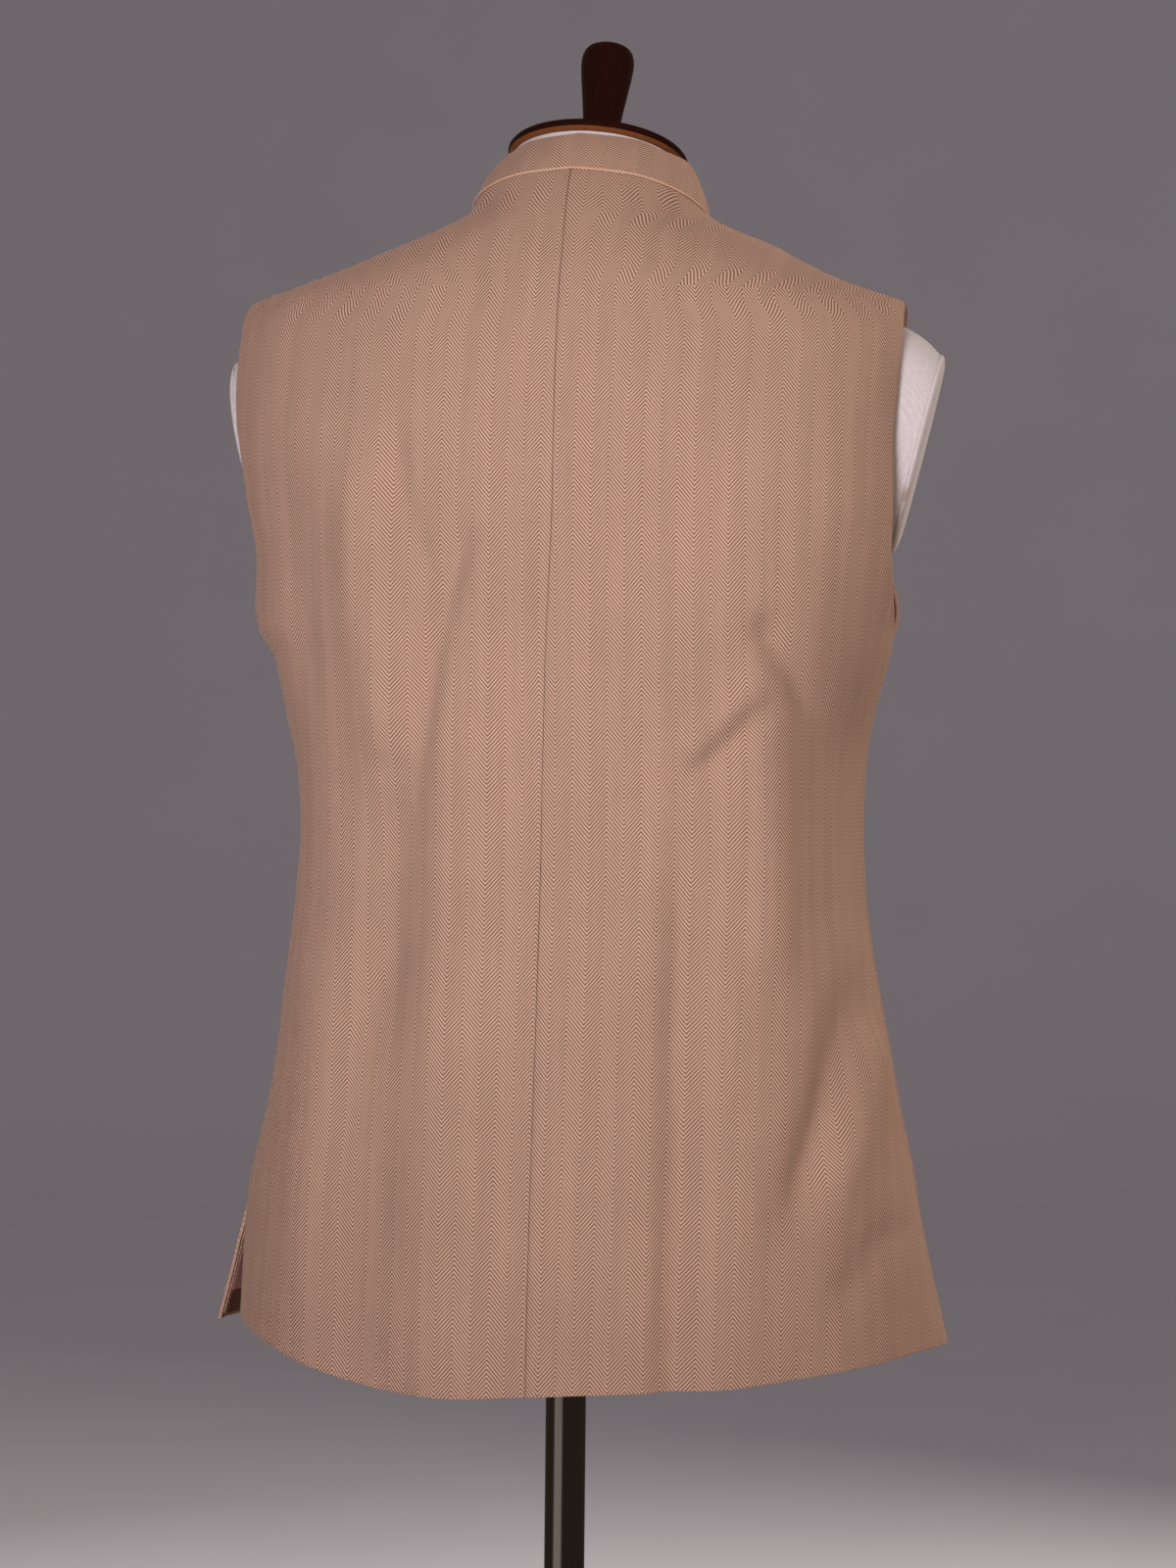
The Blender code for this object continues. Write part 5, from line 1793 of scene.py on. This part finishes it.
    def arm(self, side: Side) -> list[Piece]:
        """Lofts an arm stub and the domed plate that closes it."""
        word = side.name.lower()
        stub = ring_piece(f"arm_stub_{word}", self.ovals(self.stations(STUB, self.stub_rows), side))
        rows = [Station(0.2237, 1.3878, 1.2652, 0.0413), Station(0.2240, 1.3881, 1.2649, 0.0416)]
        for step in range(self.plate_rows + 1):
            swell = math.radians(90 * step / self.plate_rows)
            shrink = self.plate_shrink * (1 - math.cos(swell))
            out = self.plate_out + self.plate_dome * math.sin(swell)
            rim = rows[1]
            rows.append(Station(out, rim.top - shrink, rim.bottom + shrink, rim.half_depth - shrink * 0.8))
        plate = ring_piece(f"arm_plate_{word}_canvas", self.ovals(rows, side))
        dress(stub, CANVAS)
        dress(plate, CANVAS, [f"arm_plate_{word}"])
        return [stub, plate]

    def cap(self) -> list[Piece]:
        """Turns the cap and the knob and tilts them forwards on the neck."""
        place = self.cap_place()
        cap = turned_piece("neck_cap_wood", CAP_PROFILE, sides=96)
        for finish in (DARK_WOOD, BROWN_WOOD):
            cap.data.materials.append(finish.material())
        # The cap's lowest band, below 2.1 mm, is drawn in a lighter brown wood.
        for face in cap.data.polygons:
            face.material_index = 1 if face.center.z < self.cap_foot else 0
        knob = turned_piece("neck_knob_wood", KNOB_PROFILE, sides=64)
        for piece, node in ((cap, "neck_cap"), (knob, "neck_knob")):
            place_piece(piece, place)
            dress(piece, DARK_WOOD, [node])
        return [cap, knob]

    def ends(self, node: str) -> Pair:
        """Heights of a solid's foot and top."""
        low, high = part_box(node)
        return low.z, high.z

    def stand(self) -> list[Piece]:
        """Turns the pole, its flange and socket, and the base."""
        r, t = self.base_radius, self.base_thickness
        socket_foot, socket_top = self.ends("pole_socket")
        profiles = {
            "pole": [Turn(self.pole_radius, end) for end in self.ends("pole")],
            "pole_flange": [Turn(self.flange_radius, end) for end in self.ends("pole_flange")],
            "pole_socket": [
                Turn(0.030, socket_foot),
                Turn(0.030, socket_foot + 0.004),
                Turn(0.026, socket_foot + 0.007),
                Turn(0.024, socket_foot + 0.012),
                Turn(0.024, socket_top - 0.002),
                Turn(0.021, socket_top),
            ],
            "base": [Turn(r - 0.002, 0.0), Turn(r, 0.002), Turn(r, t - 0.005), Turn(r - 0.006, t)],
        }
        made = []
        for node, profile in profiles.items():
            sides = self.base_sides if node == "base" else self.tube_sides
            piece = turned_piece(f"{node}_steel", profile, sides, self.steel_rounding)
            made.append(dress(piece, STEEL, [node]))
        return made

    def build(self) -> list[Piece]:
        """Makes every piece of the form."""
        torso = dress(self.torso(), CANVAS, ["torso"])
        return [torso, *self.arm(Side.LEFT), *self.arm(Side.RIGHT), *self.cap(), *self.stand()]


# ------------------------------------------------------------------ the studio


@dataclass
class Studio:
    """The pale floor that curves up into a wall, the soft lights and the camera."""

    floor_radius: float = 9.0
    curve_radius: float = 4.0
    curve_rows: int = 16
    wall_height: float = 12.0
    camera_distance: float = 2.7
    camera_height: float = 1.12
    camera_turn: float = 11.0
    camera_roll: float = 0.6
    camera_aim: float = 0.207
    lens: float = 99.585
    chest: Triple = (0.0, 0.0, 1.24)
    air: str = "#e2c6b2"
    air_strength: float = 0.22
    air_mirrored: float = 0.08

    def floor(self) -> None:
        """Lays the floor and sweeps it up into the wall all round."""
        profile = [Turn(self.floor_radius, 0.0)]
        deselect_all()
        bpy.ops.mesh.primitive_circle_add(vertices=128, radius=self.floor_radius, fill_type="NGON")
        floor = bpy.context.object
        floor.name = "studio_floor"
        edit_all()
        bpy.ops.mesh.select_mode(type="EDGE")
        bpy.ops.mesh.region_to_loop()
        for step in range(1, self.curve_rows + 1):
            angle = math.radians(90 * step / self.curve_rows)
            radius = self.floor_radius + self.curve_radius * math.sin(angle)
            profile.append(Turn(radius, self.curve_radius * (1 - math.cos(angle))))
        profile.append(Turn(profile[-1].radius, self.wall_height))
        extrude_rows(profile)
        close_up(inside=True)
        bpy.ops.object.shade_smooth()
        floor.data.materials.append(FLOOR_PAINT_AND_GLOW.material())
        floor.visible_diffuse = False
        floor.visible_shadow = False
        floor.visible_glossy = False

    def softbox(self, name: str, place: Triple, width: float, height: float, power: float) -> Piece:
        """Hangs a flat light.

        Args:
            name: The light's name.
            place: Where it hangs.
            width: Its width.
            height: Its height.
            power: Its power in watts.

        Returns:
            The light, still shining straight down.
        """
        light = bpy.data.lights.new(name, "AREA")
        light.shape = "RECTANGLE"
        light.size, light.size_y, light.energy = width, height, power
        hung = new_piece(name, light)
        hung.location = place
        return hung

    def lamp(
        self, name: str, place: Triple, size: float, power: float, colour: str, spread: float = 180.0
    ) -> None:
        """Hangs a square softbox that shines at the chest and that no polished piece mirrors.

        Args:
            name: The lamp's name.
            place: Where it hangs.
            size: Width of the softbox.
            power: Its power in watts.
            colour: Its tint.
            spread: The angle that its grid lets through, in degrees.
        """
        hung = self.softbox(name, place, size, size, power)
        hung.data.spread = math.radians(spread)
        hung.data.color = linear(colour)[:3]
        hung.rotation_mode = "QUATERNION"
        hung.rotation_quaternion = (Vector(self.chest) - Vector(place)).to_track_quat("-Z", "Y")
        hung.visible_glossy = False

    def lights(self) -> None:
        """Hangs the key light left of the camera, a fill high on its right and two for the front.

        The wide low strip at the camera's left shines on no matt surface, only into polish.
        """
        self.lamp("key", (0.12, 2.38, 1.32), 0.8, 5.4, "#f5f5ff", spread=54)
        self.lamp("fill", (-2.1, 1.8, 3.2), 1.8, 30.0, "#fff8f2")
        strip = self.softbox("strip", (1.70, 2.71, 0.45), 2.7, 1.3, 5.6)
        strip.rotation_euler = (math.radians(90), 0, math.radians(148))
        strip.visible_diffuse = False
        self.lamp("front_key", (-1.7, -2.9, 2.1), 1.9, 96.0, "#fff8f2")
        self.lamp("front_fill", (2.6, -2.2, 1.5), 2.0, 24.0, "#f6f6ff")
        world = bpy.data.worlds.new("studio_air")
        world.use_nodes = True
        draw = Pattern(world.node_tree)
        mirrored = draw.add("LightPath", {}, "Is Glossy Ray")
        strength = draw.remap(mirrored, (0.0, 1.0), (self.air_strength, self.air_mirrored))
        draw.feed(world.node_tree.nodes["Background"], {"Color": linear(self.air), "Strength": strength})
        bpy.context.scene.world = world

    def camera(self) -> None:
        """Stands the camera behind the garment, level, with a small roll."""
        angles = (self.camera_turn, self.camera_roll, self.camera_aim)
        turn, roll, aim = (math.radians(angle) for angle in angles)
        forward = Vector((math.sin(turn), -math.cos(turn), 0))
        right = Vector((-math.cos(turn), -math.sin(turn), 0))
        up = Vector((0, 0, 1))
        place = -forward * self.camera_distance + up * self.camera_height
        ahead = forward * math.cos(aim) + right * math.sin(aim)
        across = right * math.cos(aim) - forward * math.sin(aim)
        rolled = across * math.cos(roll) + up * math.sin(roll)
        upward = up * math.cos(roll) - across * math.sin(roll)
        data = bpy.data.cameras.new("camera")
        data.lens = self.lens
        data.sensor_width = 36.0
        data.clip_end = 100.0
        camera = new_piece("camera", data)
        axes = Matrix((rolled, upward, -ahead)).transposed().to_4x4()
        camera.matrix_world = Matrix.Translation(place) @ axes
        bpy.context.scene.camera = camera

    def build(self) -> None:
        """Sets up the whole studio."""
        self.camera()
        self.floor()
        self.lights()
        bpy.context.scene.view_settings.view_transform = "Standard"


# ------------------------------------------------------------------ assembly


def main() -> None:
    """Builds the studio, the garment and the form, and notes the sizes."""
    logging.basicConfig(level=logging.INFO, format="%(message)s")
    Studio().build()
    for face in Face:
        for side in Side:
            ClothPanel(face, side).build()
    SeamAllowances().build()
    BandCollar().build()
    for side in Side:
        VentLayers(side).build()
    FrontButtons().build()
    DressForm().build()


if __name__ == "__main__":
    main()
